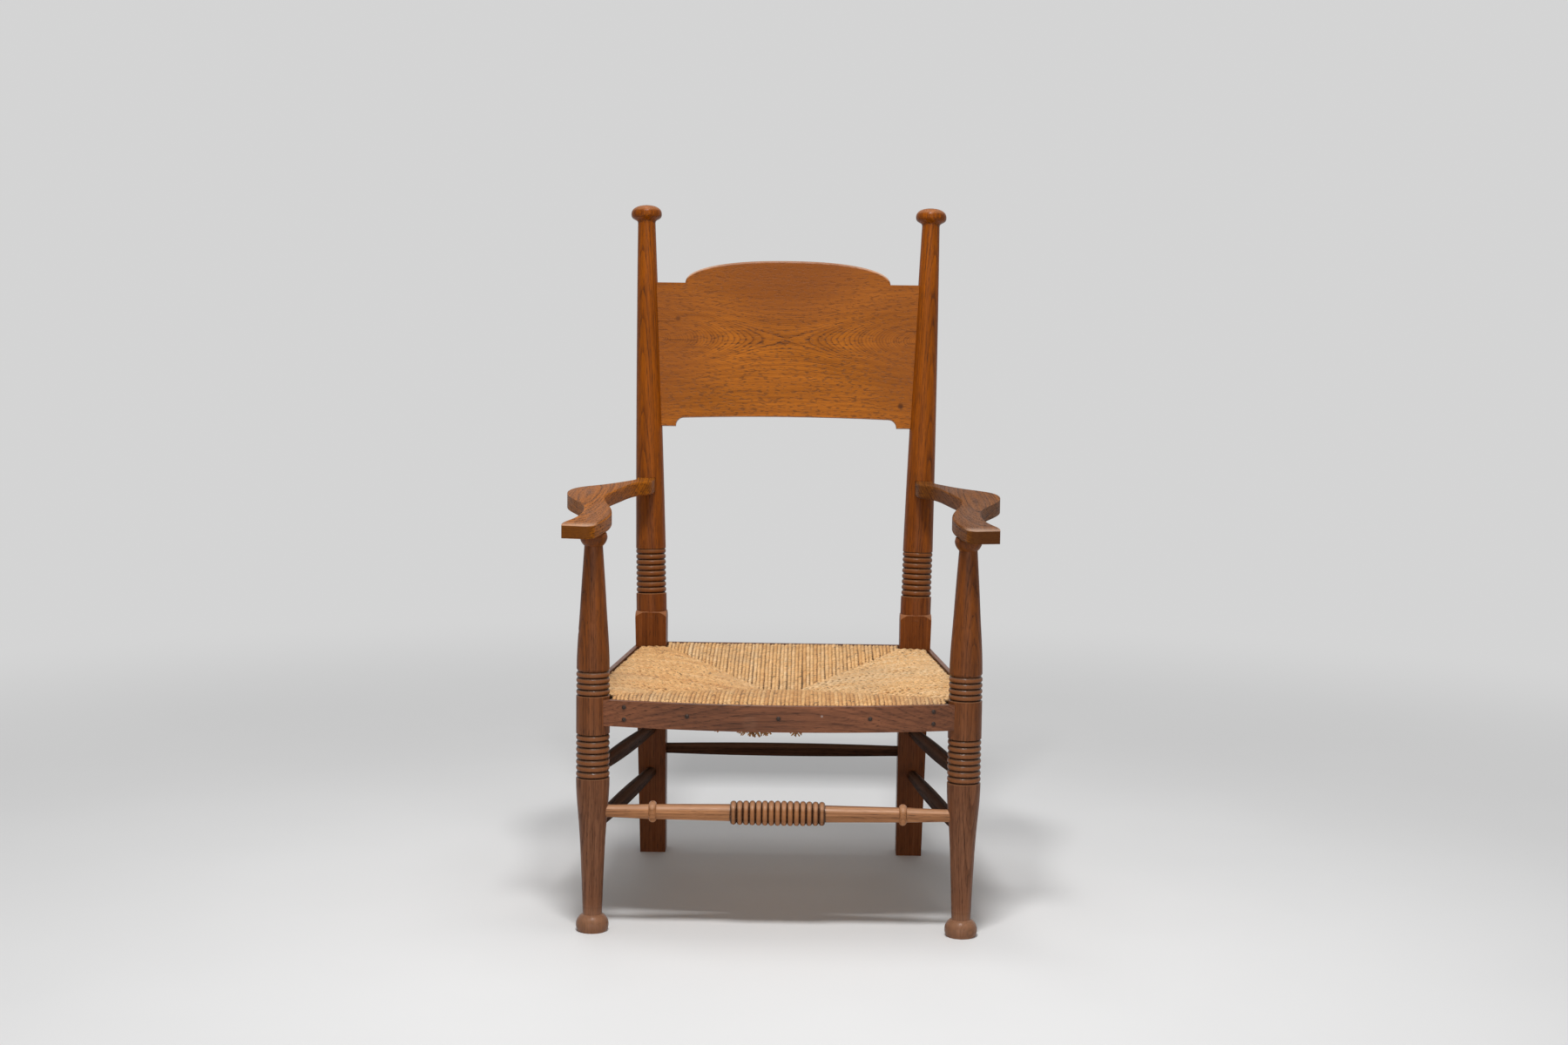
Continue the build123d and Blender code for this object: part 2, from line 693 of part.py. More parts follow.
# Back posts
leg_blank = square_leg(0)
with BuildPart() as back_post:
    add(leg_blank)
    fillet(back_post.edges().filter_by(GeomType.LINE).group_by(SortBy.LENGTH)[-1], leg_edge_radius)
    # Turned shoulder that rounds the corners of the square
    half_diagonal = seat_square / sqrt(2)
    clear_radius = seat_square
    pommel_middle = (back_collar_radius + (half_diagonal - back_collar_radius) * pommel_curve[0],
                     -pommel_drop * pommel_curve[1])
    with BuildSketch(turning_plane(leg_top, ring_direction, (0, 1, 0))):
        with BuildLine():
            ThreePointArc((back_collar_radius, 0), pommel_middle, (half_diagonal, -pommel_drop))
            Polyline(
                (half_diagonal, -pommel_drop),
                (clear_radius, -pommel_drop),
                (clear_radius, pommel_drop),
                (back_collar_radius, pommel_drop),
                (back_collar_radius, 0),
            )
        make_face()
    revolve(axis=Axis(leg_top, ring_direction), mode=Mode.SUBTRACT)
    # Plain collar and rings, turned on the lower axis
    with BuildSketch(turning_plane(leg_top, ring_direction, (0, 1, 0))):
        back_groove_radius = back_ring_radius - groove_depth
        with BuildLine():
            Polyline(
                (back_groove_radius, back_rings_top),
                (0, back_rings_top),
                (0, -pommel_drop),
                (back_collar_radius, -pommel_drop),
                (back_collar_radius, back_collar_height - ring_bevel),
                (back_groove_radius, back_collar_height),
            )
            bead_row(back_collar_height, back_ring_pitch, back_ring_count, back_ring_radius, groove_depth)
        make_face()
    revolve(axis=Axis(leg_top, ring_direction))
    # Bend between the two axes, through the middle of the curve that touches both
    middle_direction = (ring_direction + top_direction).normalized()
    bend_middle = (bend_start + bend_end + bend_point * 2) / 4
    bend_sections = (
        (bend_start, ring_direction, back_ring_radius),
        (bend_middle, middle_direction, (back_ring_radius + shaft_radius) / 2),
        (bend_end, top_direction, shaft_radius),
    )
    for centre, normal, radius in bend_sections:
        with BuildSketch(Plane(origin=centre, x_dir=(1, 0, 0), z_dir=normal)):
            Circle(radius)
    loft()
    # Straight tapered top with its button
    with BuildSketch(turning_plane(bend_end, top_direction, (0, 1, 0))):
        taper = (neck_point - bend_end).length
        widest = taper + button_skirt
        crown = widest + button_crown
        with BuildLine():
            Polyline((0, crown), (0, 0), (shaft_radius, 0))
            ThreePointArc((shaft_radius, 0), ((shaft_radius + neck_radius) / 2 + shaft_swell, taper / 2),
                          (neck_radius, taper))
            Spline((neck_radius, taper),
                   (button_radius * skirt_curve[0], taper + button_skirt * skirt_curve[1]),
                   (button_radius, widest), tangents=((0, 1), (0, 1)))
            Spline((button_radius, widest),
                   (button_radius * crown_curve[0], widest + button_crown * crown_curve[1]),
                   (0, crown), tangents=((0, 1), (-1, 0)))
        make_face()
    revolve(axis=Axis(bend_end, top_direction))
    add(back_post_cuts, mode=Mode.SUBTRACT)
save_pair(back_post.part, "back_post")

# Arms
with BuildPart() as arm:
    with BuildSketch(Plane.XY.offset(arm_height - arm_rise)) as arm_plan:
        tip_share = -arm_overhang / (arm_end_y - front_y)
        skew_share = arm_tip_skew / (arm_end_y - front_y)
        tip_inner = arm_point(tip_share, arm_tip_inner)
        tip_outer = arm_point(tip_share + skew_share, arm_tip_outer)
        end_y = arm_end_y - arm_end_length
        with BuildLine():
            Line(tip_inner, tip_outer)
            Spline(tip_outer, *[arm_point(*place) for place in arm_outer_edge], (arm_end_outer, end_y),
                   tangents=((0.1, 1), (0, 1)))
            Polyline((arm_end_outer, end_y), (arm_end_outer, arm_end_y), (arm_end_inner, arm_end_y),
                     (arm_end_inner, end_y))
            Spline(tip_inner, *[arm_point(*place) for place in arm_inner_edge], (arm_end_inner, end_y),
                   tangents=((-0.25, 1), (0, 1)))
        make_face()
        fillet(arm_plan.vertices().sort_by(Axis.Y)[:2].sort_by(Axis.X)[0], arm_inner_round)
    extrude(amount=3 * (arm_rise + arm_back_thickness))
    split(bisect_by=arm_top, keep=Keep.BOTTOM)
    split(bisect_by=arm_under, keep=Keep.TOP)
    fillet(arm.faces().sort_by(Axis.Y)[-1].edges().sort_by(Axis.X)[:-1], arm_end_round)
    tip_edges = arm.faces().filter_by(GeomType.PLANE).sort_by(Axis.Y)[0].edges().sort_by(Axis.Z)
    fillet((tip_edges[0], tip_edges[-1]), arm_edge_round)
    with BuildSketch(Plane(origin=arm_stub_base, z_dir=(0, 1, 0))):
        Circle(arm_stub_radius)
    extrude(amount=arm_stub_length)
    with BuildSketch(Plane(origin=(front_x, front_y, arm_height))):
        Circle(arm_tenon_radius + fit_clearance)
    extrude(amount=arm_seat_height - arm_height + arm_tenon_length + fit_clearance, mode=Mode.SUBTRACT)
save_pair(arm.part, "arm")

# Back board
with BuildPart() as back_panel:
    with BuildSketch(panel_plane.offset(-panel_thickness / 2)):
        tab_x = panel_end_x(panel_foot) - panel_tab_width
        with BuildLine():
            ThreePointArc((panel_cove - tab_x, panel_low), (0, panel_low + panel_lower_arch),
                          (tab_x - panel_cove, panel_low))
            for side in (-1, 1):
                cove_foot = (side * tab_x, panel_low - panel_cove)
                TangentArc(cove_foot, (side * (tab_x - panel_cove), panel_low), tangent=(0, 1))
                Polyline(
                    cove_foot,
                    (side * tab_x, panel_foot),
                    (side * panel_end_x(panel_foot), panel_foot),
                    (side * panel_end_x(panel_shoulder), panel_shoulder),
                    (side * panel_arch_half, panel_shoulder),
                )
            Spline(*[arch_point(pi * i / panel_arch_points) for i in range(panel_arch_points + 1)])
        make_face()
    extrude(amount=panel_thickness)
    arch_edges = back_panel.edges().filter_by(GeomType.BSPLINE)
    fillet(arch_edges, panel_top_round)
save(back_panel.part, "back_panel")

# Seat rails with their tenons, drilled for the pins
front_pin_holes = pin_set(front_pins, fit_clearance)
side_pin_holes = pin_set(side_pins, fit_clearance)
rear_pin_holes = pin_set(rear_pins, fit_clearance)
front_rail_blank = front_rail_body(0)
side_rail_blank = side_rail_body(0)
back_rail_blank = back_rail_body(0)
left_front_tenon = rail_tenon(front_rail_axis, inward_x)
left_back_tenon = rail_tenon(back_rail_axis, inward_x)
side_tenons = [rail_tenon(side_rail_front, side_direction), rail_tenon(side_rail_back, -side_direction)]
with BuildPart() as front_rail:
    add([front_rail_blank, left_front_tenon])
    mirror(left_front_tenon, about=Plane.YZ)
    add(front_pin_holes, mode=Mode.SUBTRACT)
save(front_rail.part, "front_seat_rail")
with BuildPart() as back_rail:
    add([back_rail_blank, left_back_tenon])
    mirror(left_back_tenon, about=Plane.YZ)
    add(rear_pin_holes, mode=Mode.SUBTRACT)
save(back_rail.part, "back_seat_rail")
with BuildPart() as side_rail:
    add([side_rail_blank] + side_tenons)
    add(side_pin_holes, mode=Mode.SUBTRACT)
save_pair(side_rail.part, "side_seat_rail")


def stuffing_body(inset, layer):
    """Pad between the upper and the lower layer of rush, inside the rails."""
    block = seat_prism(layer - cover_height, cover_height + rush_proud - 2 * layer, rush_crest_inset)
    sag = seat_pyramid(layer - cover_height, underside_sag)
    dish = seat_pyramid(rush_proud - layer, dish_depth)
    core = seat_prism(-2 * cover_height, 3 * cover_height, inset)
    with BuildPart() as body:
        add([block, sag])
        add(dish, mode=Mode.SUBTRACT)
        add(core, mode=Mode.INTERSECT)
    return body.part


# Wound rush: a rounded slab, dished above and sagging a little below, hollow for what it covers
with BuildPart() as front_post_room:
    with BuildSketch(Plane(origin=(front_x, front_y, seat_height - 2 * cover_height))):
        Circle(post_radius + soft_clearance)
    extrude(amount=3 * cover_height)
rush_slab = seat_prism(-cover_height, cover_height + rush_proud, 0)
rush_sag = seat_pyramid(-cover_height, underside_sag)
rush_dish = seat_pyramid(rush_proud, dish_depth)
post_room = [front_post_room.part, square_leg(soft_clearance)]
left_room = [
    side_rail_body(soft_clearance),
    socket(front_rail_axis, inward_x, rail_tenon_radius, rail_tenon_stop, soft_clearance),
    socket(back_rail_axis, inward_x, rail_tenon_radius, rail_tenon_stop, soft_clearance),
    socket(side_rail_front, side_direction, rail_tenon_radius, rail_tenon_stop, soft_clearance),
    socket(side_rail_back, -side_direction, rail_tenon_radius, rail_tenon_stop, soft_clearance),
    side_pin_holes,
]
post_room += [mirror(room, about=Plane.YZ) for room in post_room]
right_room = [mirror(room, about=Plane.YZ) for room in left_room]
middle_room = [
    front_rail_body(soft_clearance),
    back_rail_body(soft_clearance),
    stuffing_body(rail_inset + rail_depth - soft_clearance, rush_wrap),
    front_pin_holes,
    rear_pin_holes,
]
with BuildPart() as rush_seat:
    add(rush_slab)
    fillet(rush_seat.edges().filter_by(Axis((0, 0, 0), seat_up)), rush_corner_round)
    rim = rush_seat.faces().sort_by(Axis.Z)
    fillet(rim[0].edges() + rim[-1].edges(), rush_edge_round)
    add(rush_sag)
    add(rush_dish, mode=Mode.SUBTRACT)
    add(post_room + left_room + right_room + middle_room, mode=Mode.SUBTRACT)
save(rush_seat.part, "rush_seat")
pad_blank = stuffing_body(rail_inset + rail_depth + soft_clearance, rush_wrap + soft_clearance)
with BuildPart() as stuffing:
    add(pad_blank)
    add(post_room, mode=Mode.SUBTRACT)
save(stuffing.part, "rush_stuffing")

# Cover boards
front_blank = front_board(0)
side_blank = side_board(0)
rear_blank = rear_board(0)
with BuildPart() as front_cover:
    add(front_blank)
    add(front_pin_holes, mode=Mode.SUBTRACT)
save(front_cover.part, "front_cover_board")
with BuildPart() as side_cover:
    add(side_blank)
    add(side_pin_holes, mode=Mode.SUBTRACT)
save_pair(side_cover.part, "side_cover_board")
with BuildPart() as back_cover:
    add(rear_blank)
    add(rear_pin_holes, mode=Mode.SUBTRACT)
save(back_cover.part, "back_cover_board")
save(pin_set(front_pins, 0), "front_cover_pins")
save_pair(pin_set(side_pins, 0), "side_cover_pins")
save(pin_set(rear_pins, 0), "back_cover_pins")

# Stretchers
save_pair(spindle(*upper_bar, bar_end_radius, side_bar_radius), "upper_side_stretcher")
save_pair(spindle(*lower_bar, bar_end_radius, side_bar_radius), "lower_side_stretcher")
save(spindle(*back_bar, bar_end_radius, back_bar_radius), "back_stretcher")
with BuildPart() as front_stretcher:
    middle = Vector(0, front_y, front_bar_height)
    with BuildSketch(turning_plane(middle, Vector(1, 0, 0), (0, 0, 1))):
        half = front_x - bar_tenon_stop
        ring_half = front_bar_ring_count * front_bar_ring_pitch / 2
        with BuildLine():
            bead_row(-ring_half, front_bar_ring_pitch, front_bar_ring_count, front_bar_ring_radius,
                     front_bar_groove_depth, front_bar_ring_swell)
            for side in (-1, 1):
                inner = side * (front_bar_collar_x - front_bar_collar_width / 2)
                outer = side * (front_bar_collar_x + front_bar_collar_width / 2)
                Polyline(
                    (front_bar_ring_radius - front_bar_groove_depth, side * ring_half),
                    (front_bar_swell_radius, side * ring_half),
                    (front_bar_shaft_radius, inner),
                )
                ThreePointArc((front_bar_shaft_radius, inner),
                              (front_bar_collar_radius, side * front_bar_collar_x),
                              (front_bar_shaft_radius, outer))
                Polyline(
                    (front_bar_shaft_radius, outer),
                    (front_bar_end_radius, side * (half - bar_tenon_length)),
                    (front_bar_end_radius, side * half),
                    (0, side * half),
                )
            Line((0, -half), (0, half))
        make_face()
    revolve(axis=Axis(middle, (1, 0, 0)))
save(front_stretcher.part, "front_stretcher")
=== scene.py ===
"""Dresses the rush seat armchair: waxed oak, dark pins and a seat of twisted rush strands."""
import logging
import math
import random
from collections.abc import Mapping, Sequence
from dataclasses import asdict, dataclass, field
from enum import Enum
from typing import Any, Optional, Union

import bpy
from mathutils import Matrix, Vector


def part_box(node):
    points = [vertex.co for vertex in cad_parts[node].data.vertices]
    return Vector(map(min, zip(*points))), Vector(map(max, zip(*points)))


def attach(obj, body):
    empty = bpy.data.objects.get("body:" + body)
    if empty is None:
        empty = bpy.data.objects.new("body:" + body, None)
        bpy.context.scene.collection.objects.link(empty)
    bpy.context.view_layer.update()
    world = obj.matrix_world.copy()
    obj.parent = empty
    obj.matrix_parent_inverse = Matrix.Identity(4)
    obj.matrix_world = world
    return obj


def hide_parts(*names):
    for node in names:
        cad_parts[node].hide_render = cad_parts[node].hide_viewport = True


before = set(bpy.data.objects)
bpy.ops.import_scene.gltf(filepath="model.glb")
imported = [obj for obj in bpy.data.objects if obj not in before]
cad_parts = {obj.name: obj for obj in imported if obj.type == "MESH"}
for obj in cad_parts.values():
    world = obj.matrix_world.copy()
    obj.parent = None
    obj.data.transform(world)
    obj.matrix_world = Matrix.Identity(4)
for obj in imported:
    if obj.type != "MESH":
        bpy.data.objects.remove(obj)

LOG = logging.getLogger("armchair")
Pair = tuple[float, float]
Triple = tuple[float, float, float]
Stops = tuple[tuple[float, Triple], ...]
Socket = bpy.types.NodeSocket
Place = Sequence[Socket]
Value = Union[float, Sequence[float], Socket]
Inputs = Union[Sequence[Value], Mapping[Union[int, str], Any]]

FULL_NOISE: Pair = (0.3, 0.7)  # nearly all the values of a noise texture
MID_NOISE: Pair = (0.36, 0.64)  # its middle values, for a stronger contrast
SIDEWAYS: Triple = (1.0, 0.0, 0.0)
BACKWARDS: Triple = (0.0, 1.0, 0.0)
UPWARDS: Triple = (0.0, 0.0, 1.0)
SIDES = (("left", 1), ("right", -1))  # the sitter's sides, and the way that each lies along X


class NodeKit:
    """Adds and links the nodes of one shader or geometry tree."""

    def __init__(self, tree: bpy.types.NodeTree) -> None:
        """Keep the tree that the nodes go into."""
        self.tree = tree

    def add(self, kind: str, inputs: Inputs = (), **settings: Any) -> bpy.types.Node:
        """Add one node.

        Args:
            kind: Blender's name for the node type.
            inputs: what its inputs get, in order, or by name or number.
            settings: properties to set on it.

        Returns:
            The new node.
        """
        node = self.tree.nodes.new(kind)
        for name, value in settings.items():
            setattr(node, name, value)
        pairs = inputs.items() if isinstance(inputs, Mapping) else enumerate(inputs)
        for key, value in pairs:
            self.feed(node.inputs[key], value)
        return node

    def feed(self, socket: Socket, value: Any) -> None:
        """Link another socket to this one, or set its constant.

        Args:
            socket: the input to feed.
            value: an output socket, or a number, tuple or text.
        """
        if isinstance(value, Socket):
            self.tree.links.new(value, socket)
        else:
            socket.default_value = value

    def math(self, operation: str, *values: Value, clamp: bool = False) -> Socket:
        """Combine numbers, in order, and clamp the result to 0 to 1 if asked."""
        return self.add("ShaderNodeMath", values, operation=operation, use_clamp=clamp).outputs[0]

    def times(self, first: Value, second: Value) -> Socket:
        """Multiply two numbers."""
        return self.math("MULTIPLY", first, second)

    def total(self, first: Value, *others: Value) -> Socket:
        """Add up several numbers.

        Args:
            first: the first number.
            others: the numbers that are added to it.

        Returns:
            The sum's socket.
        """
        for value in others:
            first = self.math("ADD", first, value)
        return first

    def vector(self, operation: str, *values: Value) -> Socket:
        """Combine vectors, into a number for a dot product and a vector otherwise."""
        node = self.add("ShaderNodeVectorMath", values, operation=operation)
        return node.outputs["Value" if operation == "DOT_PRODUCT" else "Vector"]

    def length(self, vector: Socket) -> Socket:
        """Length of a vector."""
        return self.math("SQRT", self.vector("DOT_PRODUCT", vector, vector))

    def join(self, x: Value, y: Value, z: Value) -> Socket:
        """Make a vector of three numbers."""
        return self.add("ShaderNodeCombineXYZ", (x, y, z)).outputs[0]

    def part(self, vector: Value) -> Place:
        """Split a vector into its three numbers."""
        return self.add("ShaderNodeSeparateXYZ", (vector,)).outputs

    def coordinate(self, name: str) -> Socket:
        """The Object place or the Normal of a point on the surface."""
        return self.add("ShaderNodeTexCoord").outputs[name]

    def noise(self, vector: Value, scale: float = 1.0, detail: float = 2.0,
              roughness: float = 0.5) -> Place:
        """Add a noise texture.

        Args:
            vector: where it is read.
            scale: how many features there are per unit.
            detail: how many finer layers are added.
            roughness: how strong the finer layers are.

        Returns:
            The outputs of the noise: a number, then a colour.
        """
        return self.add("ShaderNodeTexNoise", {
            "Vector": vector, "Scale": scale, "Detail": detail, "Roughness": roughness}).outputs

    def spread(self, value: Value, low: float, high: float, to_low: float = 0.0,
               to_high: float = 1.0, soft: bool = True) -> Socket:
        """Map a number from one range to another, clamped.

        Args:
            value: the number.
            low: start of the range that it has.
            high: end of that range.
            to_low: what the start becomes.
            to_high: what the end becomes.
            soft: whether the ends are eased.

        Returns:
            The mapped number's socket.
        """
        node = self.add("ShaderNodeMapRange", (value, low, high, to_low, to_high),
                        interpolation_type="SMOOTHSTEP" if soft else "LINEAR")
        return node.outputs[0]

    def mix(self, factor: Value, first: Value, second: Value, blend: str = "MIX") -> Socket:
        """Mix two colours.

        Args:
            factor: share of the second colour.
            first: the first colour.
            second: the second colour.
            blend: how they are blended.

        Returns:
            The mixed colour's socket.
        """
        first, second = [(*item, 1.0) if isinstance(item, tuple) else item for item in (first, second)]
        node = self.add("ShaderNodeMix", {0: factor, 6: first, 7: second},
                        data_type="RGBA", blend_type=blend, clamp_factor=True)
        return node.outputs[2]

    def shade(self, colour: Socket, red: Value, green: Value, blue: Value) -> Socket:
        """Multiply a colour's three shares by numbers."""
        return self.mix(1.0, colour, self.join(red, green, blue), "MULTIPLY")

    def ramp(self, value: Value, stops: Stops) -> Socket:
        """Turn a number into a colour.

        Args:
            value: the number, 0 to 1.
            stops: places along the ramp and their colours.

        Returns:
            The colour's socket.
        """
        node = self.add("ShaderNodeValToRGB", (value,))
        elements = node.color_ramp.elements
        while len(elements) < len(stops):
            elements.new(1.0)
        for element, (place, colour) in zip(elements, stops):
            element.position = place
            element.color = (*colour, 1.0)
        return node.outputs[0]


def new_material(name: str, **constants: Value) -> tuple[bpy.types.Material, NodeKit, bpy.types.Node]:
    """Start a material.

    Args:
        name: the material's name.
        constants: shader values that are the same all over, by socket name with underscores.

    Returns:
        The material, a kit for its tree, and its shader node.
    """
    material = bpy.data.materials.new(name)
    material.use_nodes = True
    shader = material.node_tree.nodes["Principled BSDF"]
    for key, value in constants.items():
        shader.inputs[key.replace("_", " ")].default_value = value
    return material, NodeKit(material.node_tree), shader


def coat(kit: NodeKit, shader: bpy.types.Node, colour: Socket, roughness: Socket, height: Socket,
         bump: Pair) -> None:
    """Give a shader its colour, roughness and bump.

    Args:
        kit: kit of the material's tree.
        shader: the shader node.
        colour: the surface's colour.
        roughness: how rough it is, 0 to 1.
        height: the bump's height, 0 to 1.
        bump: how deep a height of 1 is, in metres, and how strongly it shows.
    """
    normal = kit.add("ShaderNodeBump", {"Strength": bump[1], "Distance": bump[0], "Height": height})
    for name, value in (("Base Color", colour), ("Roughness", roughness), ("Normal", normal.outputs[0])):
        kit.feed(shader.inputs[name], value)


@dataclass(frozen=True)
class RingRow:
    """A row of turned rings along a piece's own axis, in metres, with painted shade in the grooves and pale
    crests, worn and with a painted highlight.
    """

    start: float
    stop: float
    groove: float  # radius at the bottom of the grooves
    crest: float  # radius at the top of the rings
    grime_share: float = 0.58  # share of the depth that is painted dark all through, as shade
    worn: Pair = (-0.0005, 0.0002)  # where the pale crest, worn and with a painted highlight, starts and is full, from the crest
    worn_share: float = 0.75

    @property
    def span(self) -> Pair:
        """Where the row starts and stops."""
        return self.start, self.stop


@dataclass(frozen=True)
class Knot:
    """A small dark knot in a board, in the grain's own frame."""

    along: float
    across: float
    radius: float
    core: float = 0.3  # share of the radius that is darkest
    dark: float = 0.9
    swing: float = 0.007  # how far the growth rings swing round it
    swing_radii: float = 6.0  # how many radii away they begin to


@dataclass(frozen=True)
class Spot:
    """A stain, chip or broad change of tone on a surface, in the grain's own frame."""

    along: float
    across: float
    radius: float
    tone: Triple
    strength: float
    core: float = 0.45  # share of the radius that is strongest


@dataclass(frozen=True)
class Check:
    """A short drying crack along the grain, mostly near one end of a board."""

    start: float
    stop: float
    across: float
    sway: float = 0.006
    half_width: Pair = (0.0003, 0.0013)  # of its dark middle, and of its soft edge
    dark: float = 0.8
    fade: float = 0.008  # how far from its ends it thins out


@dataclass(frozen=True)
class Streak:
    """Noise drawn out along the grain: features per metre across and along it, and its finer layers."""

    across: float
    along: float
    layers: float = 2.0


@dataclass(frozen=True)
class Stretch:
    """A stretch of a bent post, between two heights, and how far its middle line shifts there."""

    low: float
    high: float
    shift_x: float
    shift_y: float


@dataclass(frozen=True)
class Grain:
    """How the grain runs through a piece: its middle line and the growth rings' centre, in metres."""

    origin: Triple
    along: Triple
    across: Triple
    pith: Pair
    bow: float = 0.0
    path: tuple[Stretch, ...] = ()


@dataclass(frozen=True)
class Oak:
    """Waxed oak with growth rings, pores and fibres, painted shade in the turned grooves, and painted
    highlights on the crests and upper arrises.
    """

    name: str
    tone: Triple
    deep: Triple
    low_tone: Optional[Triple] = None  # tone near the floor, which ends between the next two heights
    low_from: float = 0.05
    low_to: float = 0.6
    ring_pitch: float = 0.0032
    ring_wander: Pair = (140.0, 1.6)  # how uneven the pitch is: features per metre, and rings
    warp: float = 0.006  # how far slow noise bends the growth rings
    ring_share: float = 0.4
    band_share: float = 0.1
    band_noise: Pair = (190.0, 7.0)  # of the years' darkness: features per metre, and its own start
    streak_share: float = 0.4
    fibre_share: Pair = (-0.05, 0.25)
    pore_share: float = 0.65
    pore_noise: Pair = (0.54, 0.64)
    pore_early: float = 0.6  # share of the pores that only the early wood has
    patch: float = 0.16  # how uneven the tone is over a broad patch
    rough: float = 0.36
    rough_patch: float = 0.06
    pore_rough: float = 0.2
    gloss: float = 0.2
    bump: Pair = (0.0004, 0.5)
    fibre_height: float = 0.35
    slow: Streak = Streak(16.0, 3.2, 3.0)
    broad: Streak = Streak(24.0, 5.0, 4.0)
    streak: Streak = Streak(190.0, 9.0, 3.0)
    fibre: Streak = Streak(620.0, 20.0)
    pores: Streak = Streak(820.0, 62.0, 1.0)
    # dark tone of pores, knots and cracks, and of the painted shade in the ring grooves
    groove_tone: Triple = (0.022, 0.009, 0.004)
    # pale tone of the ring crests: wear, with a painted highlight
    worn_tone: Optional[Triple] = None
    rubbed: Optional[Triple] = None  # tone of the painted highlight on the upper arrises
    rubbed_share: float = 0.5
    rubbed_until: Optional[float] = None  # paints the highlight on flat tops too, but only this far along the grain
    rubbed_fade: Pair = (-0.035, 0.025)
    arris_up: Pair = (0.28, 0.62)  # how far upwards an arris faces
    flat_up: Pair = (0.93, 0.992)  # how far upwards a flat top faces
    end_share: float = 0.0  # how much darker the end grain is
    end_facing: Pair = (0.6, 0.95)
    polished: tuple[Pair, ...] = ()  # stretches along the grain that are worn smooth
    polish: float = 0.14
    polish_deep: float = 0.12
    fade: float = 0.002  # how softly a stretch along the grain ends
    rings: tuple[RingRow, ...] = ()
    knots: tuple[Knot, ...] = ()
    checks: tuple[Check, ...] = ()
    spots: tuple[Spot, ...] = ()

    def axes(self, kit: NodeKit, grain: Grain) -> Place:
        """Place along, across and through the grain.

        Args:
            kit: kit of the material's tree.
            grain: how the grain runs.

        Returns:
            Sockets for the three places, in metres.
        """
        point = kit.coordinate("Object")
        offset = kit.vector("SUBTRACT", point, grain.origin)
        if grain.path:
            height = kit.part(point)[2]
            shift: list[Value] = [0.0, 0.0]
            for item in grain.path:
                for axis, way in enumerate((item.shift_x, item.shift_y)):
                    gone = kit.spread(height, item.low, item.high, 0.0, way, soft=False)
                    shift[axis] = kit.math("ADD", gone, shift[axis])
            offset = kit.vector("SUBTRACT", offset, kit.join(*shift, 0.0))
        along = Vector(grain.along).normalized()
        across = Vector(grain.across).normalized()
        axes = (along, across, along.cross(across))
        return [kit.vector("DOT_PRODUCT", offset, tuple(axis)) for axis in axes]

    def growth(self, kit: NodeKit, grain: Grain, place: Place, stir: Socket) -> tuple[Socket, Socket]:
        """Growth rings, from the distance to the middle of the tree.

        Args:
            kit: kit of the material's tree.
            grain: how the grain runs.
            place: place along, across and through the grain.
            stir: slow noise that bends the rings.

        Returns:
            A ring's own share, 1 in the dark early wood and 0 in the late wood, and how dark its group
            of rings is, -1 to 1.
        """
        along, across, through = place
        bend = kit.times(kit.math("POWER", kit.math("ABSOLUTE", along), 2.0), grain.bow)
        depth = kit.math("ADD", kit.math("SUBTRACT", through, grain.pith[1]), bend)
        distance = kit.length(kit.join(kit.math("SUBTRACT", across, grain.pith[0]), depth, 0.0))
        distance = kit.math("MULTIPLY_ADD", stir, self.warp, distance)
        for knot in self.knots:
            away = self.reach(kit, place, knot)
            swing = kit.spread(away, 0.0, knot.radius * knot.swing_radii, knot.swing, 0.0)
            distance = kit.math("ADD", distance, swing)
        wander_scale, wander = self.ring_wander
        uneven = kit.noise(kit.join(kit.times(distance, wander_scale), 0.0, 0.0), detail=1.0)[0]
        phase = kit.math("MULTIPLY_ADD", uneven, wander, kit.math("DIVIDE", distance, self.ring_pitch))
        band_scale, band_start = self.band_noise
        years = kit.noise(kit.join(kit.times(distance, band_scale), band_start, 0.0), detail=1.0)[0]
        early = kit.spread(kit.math("FRACT", phase), 0.0, 0.5, 1.0, 0.0)
        return early, kit.spread(years, *MID_NOISE, -1.0, 1.0)

    def reach(self, kit: NodeKit, place: Place, mark: Union[Knot, Spot]) -> Socket:
        """Distance on the surface from a knot or spot."""
        point = kit.join(place[0], place[1], 0.0)
        return kit.length(kit.vector("SUBTRACT", point, (mark.along, mark.across, 0.0)))

    def between(self, kit: NodeKit, along: Socket, start: Pair, stop: Pair) -> Socket:
        """1 along a stretch of the grain, rising from 0 over the start range and falling over the stop."""
        return kit.times(kit.spread(along, *start), kit.spread(along, *stop, 1.0, 0.0))

    def within(self, kit: NodeKit, along: Socket, span: Pair) -> Socket:
        """1 between two places along the grain, and 0 a little outside them."""
        start, stop = span
        return self.between(kit, along, (start - self.fade, start), (stop, stop + self.fade))

    def drawn(self, kit: NodeKit, place: Place, streak: Streak) -> Socket:
        """Noise that is drawn out along the grain.

        Args:
            kit: kit of the material's tree.
            place: place along, across and through the grain.
            streak: how fine and how long its features are.

        Returns:
            The noise, about 0.3 to 0.7.
        """
        along, across, through = place
        where = kit.join(kit.times(across, streak.across), kit.times(through, streak.across),
                         kit.times(along, streak.along))
        return kit.noise(where, detail=streak.layers)[0]

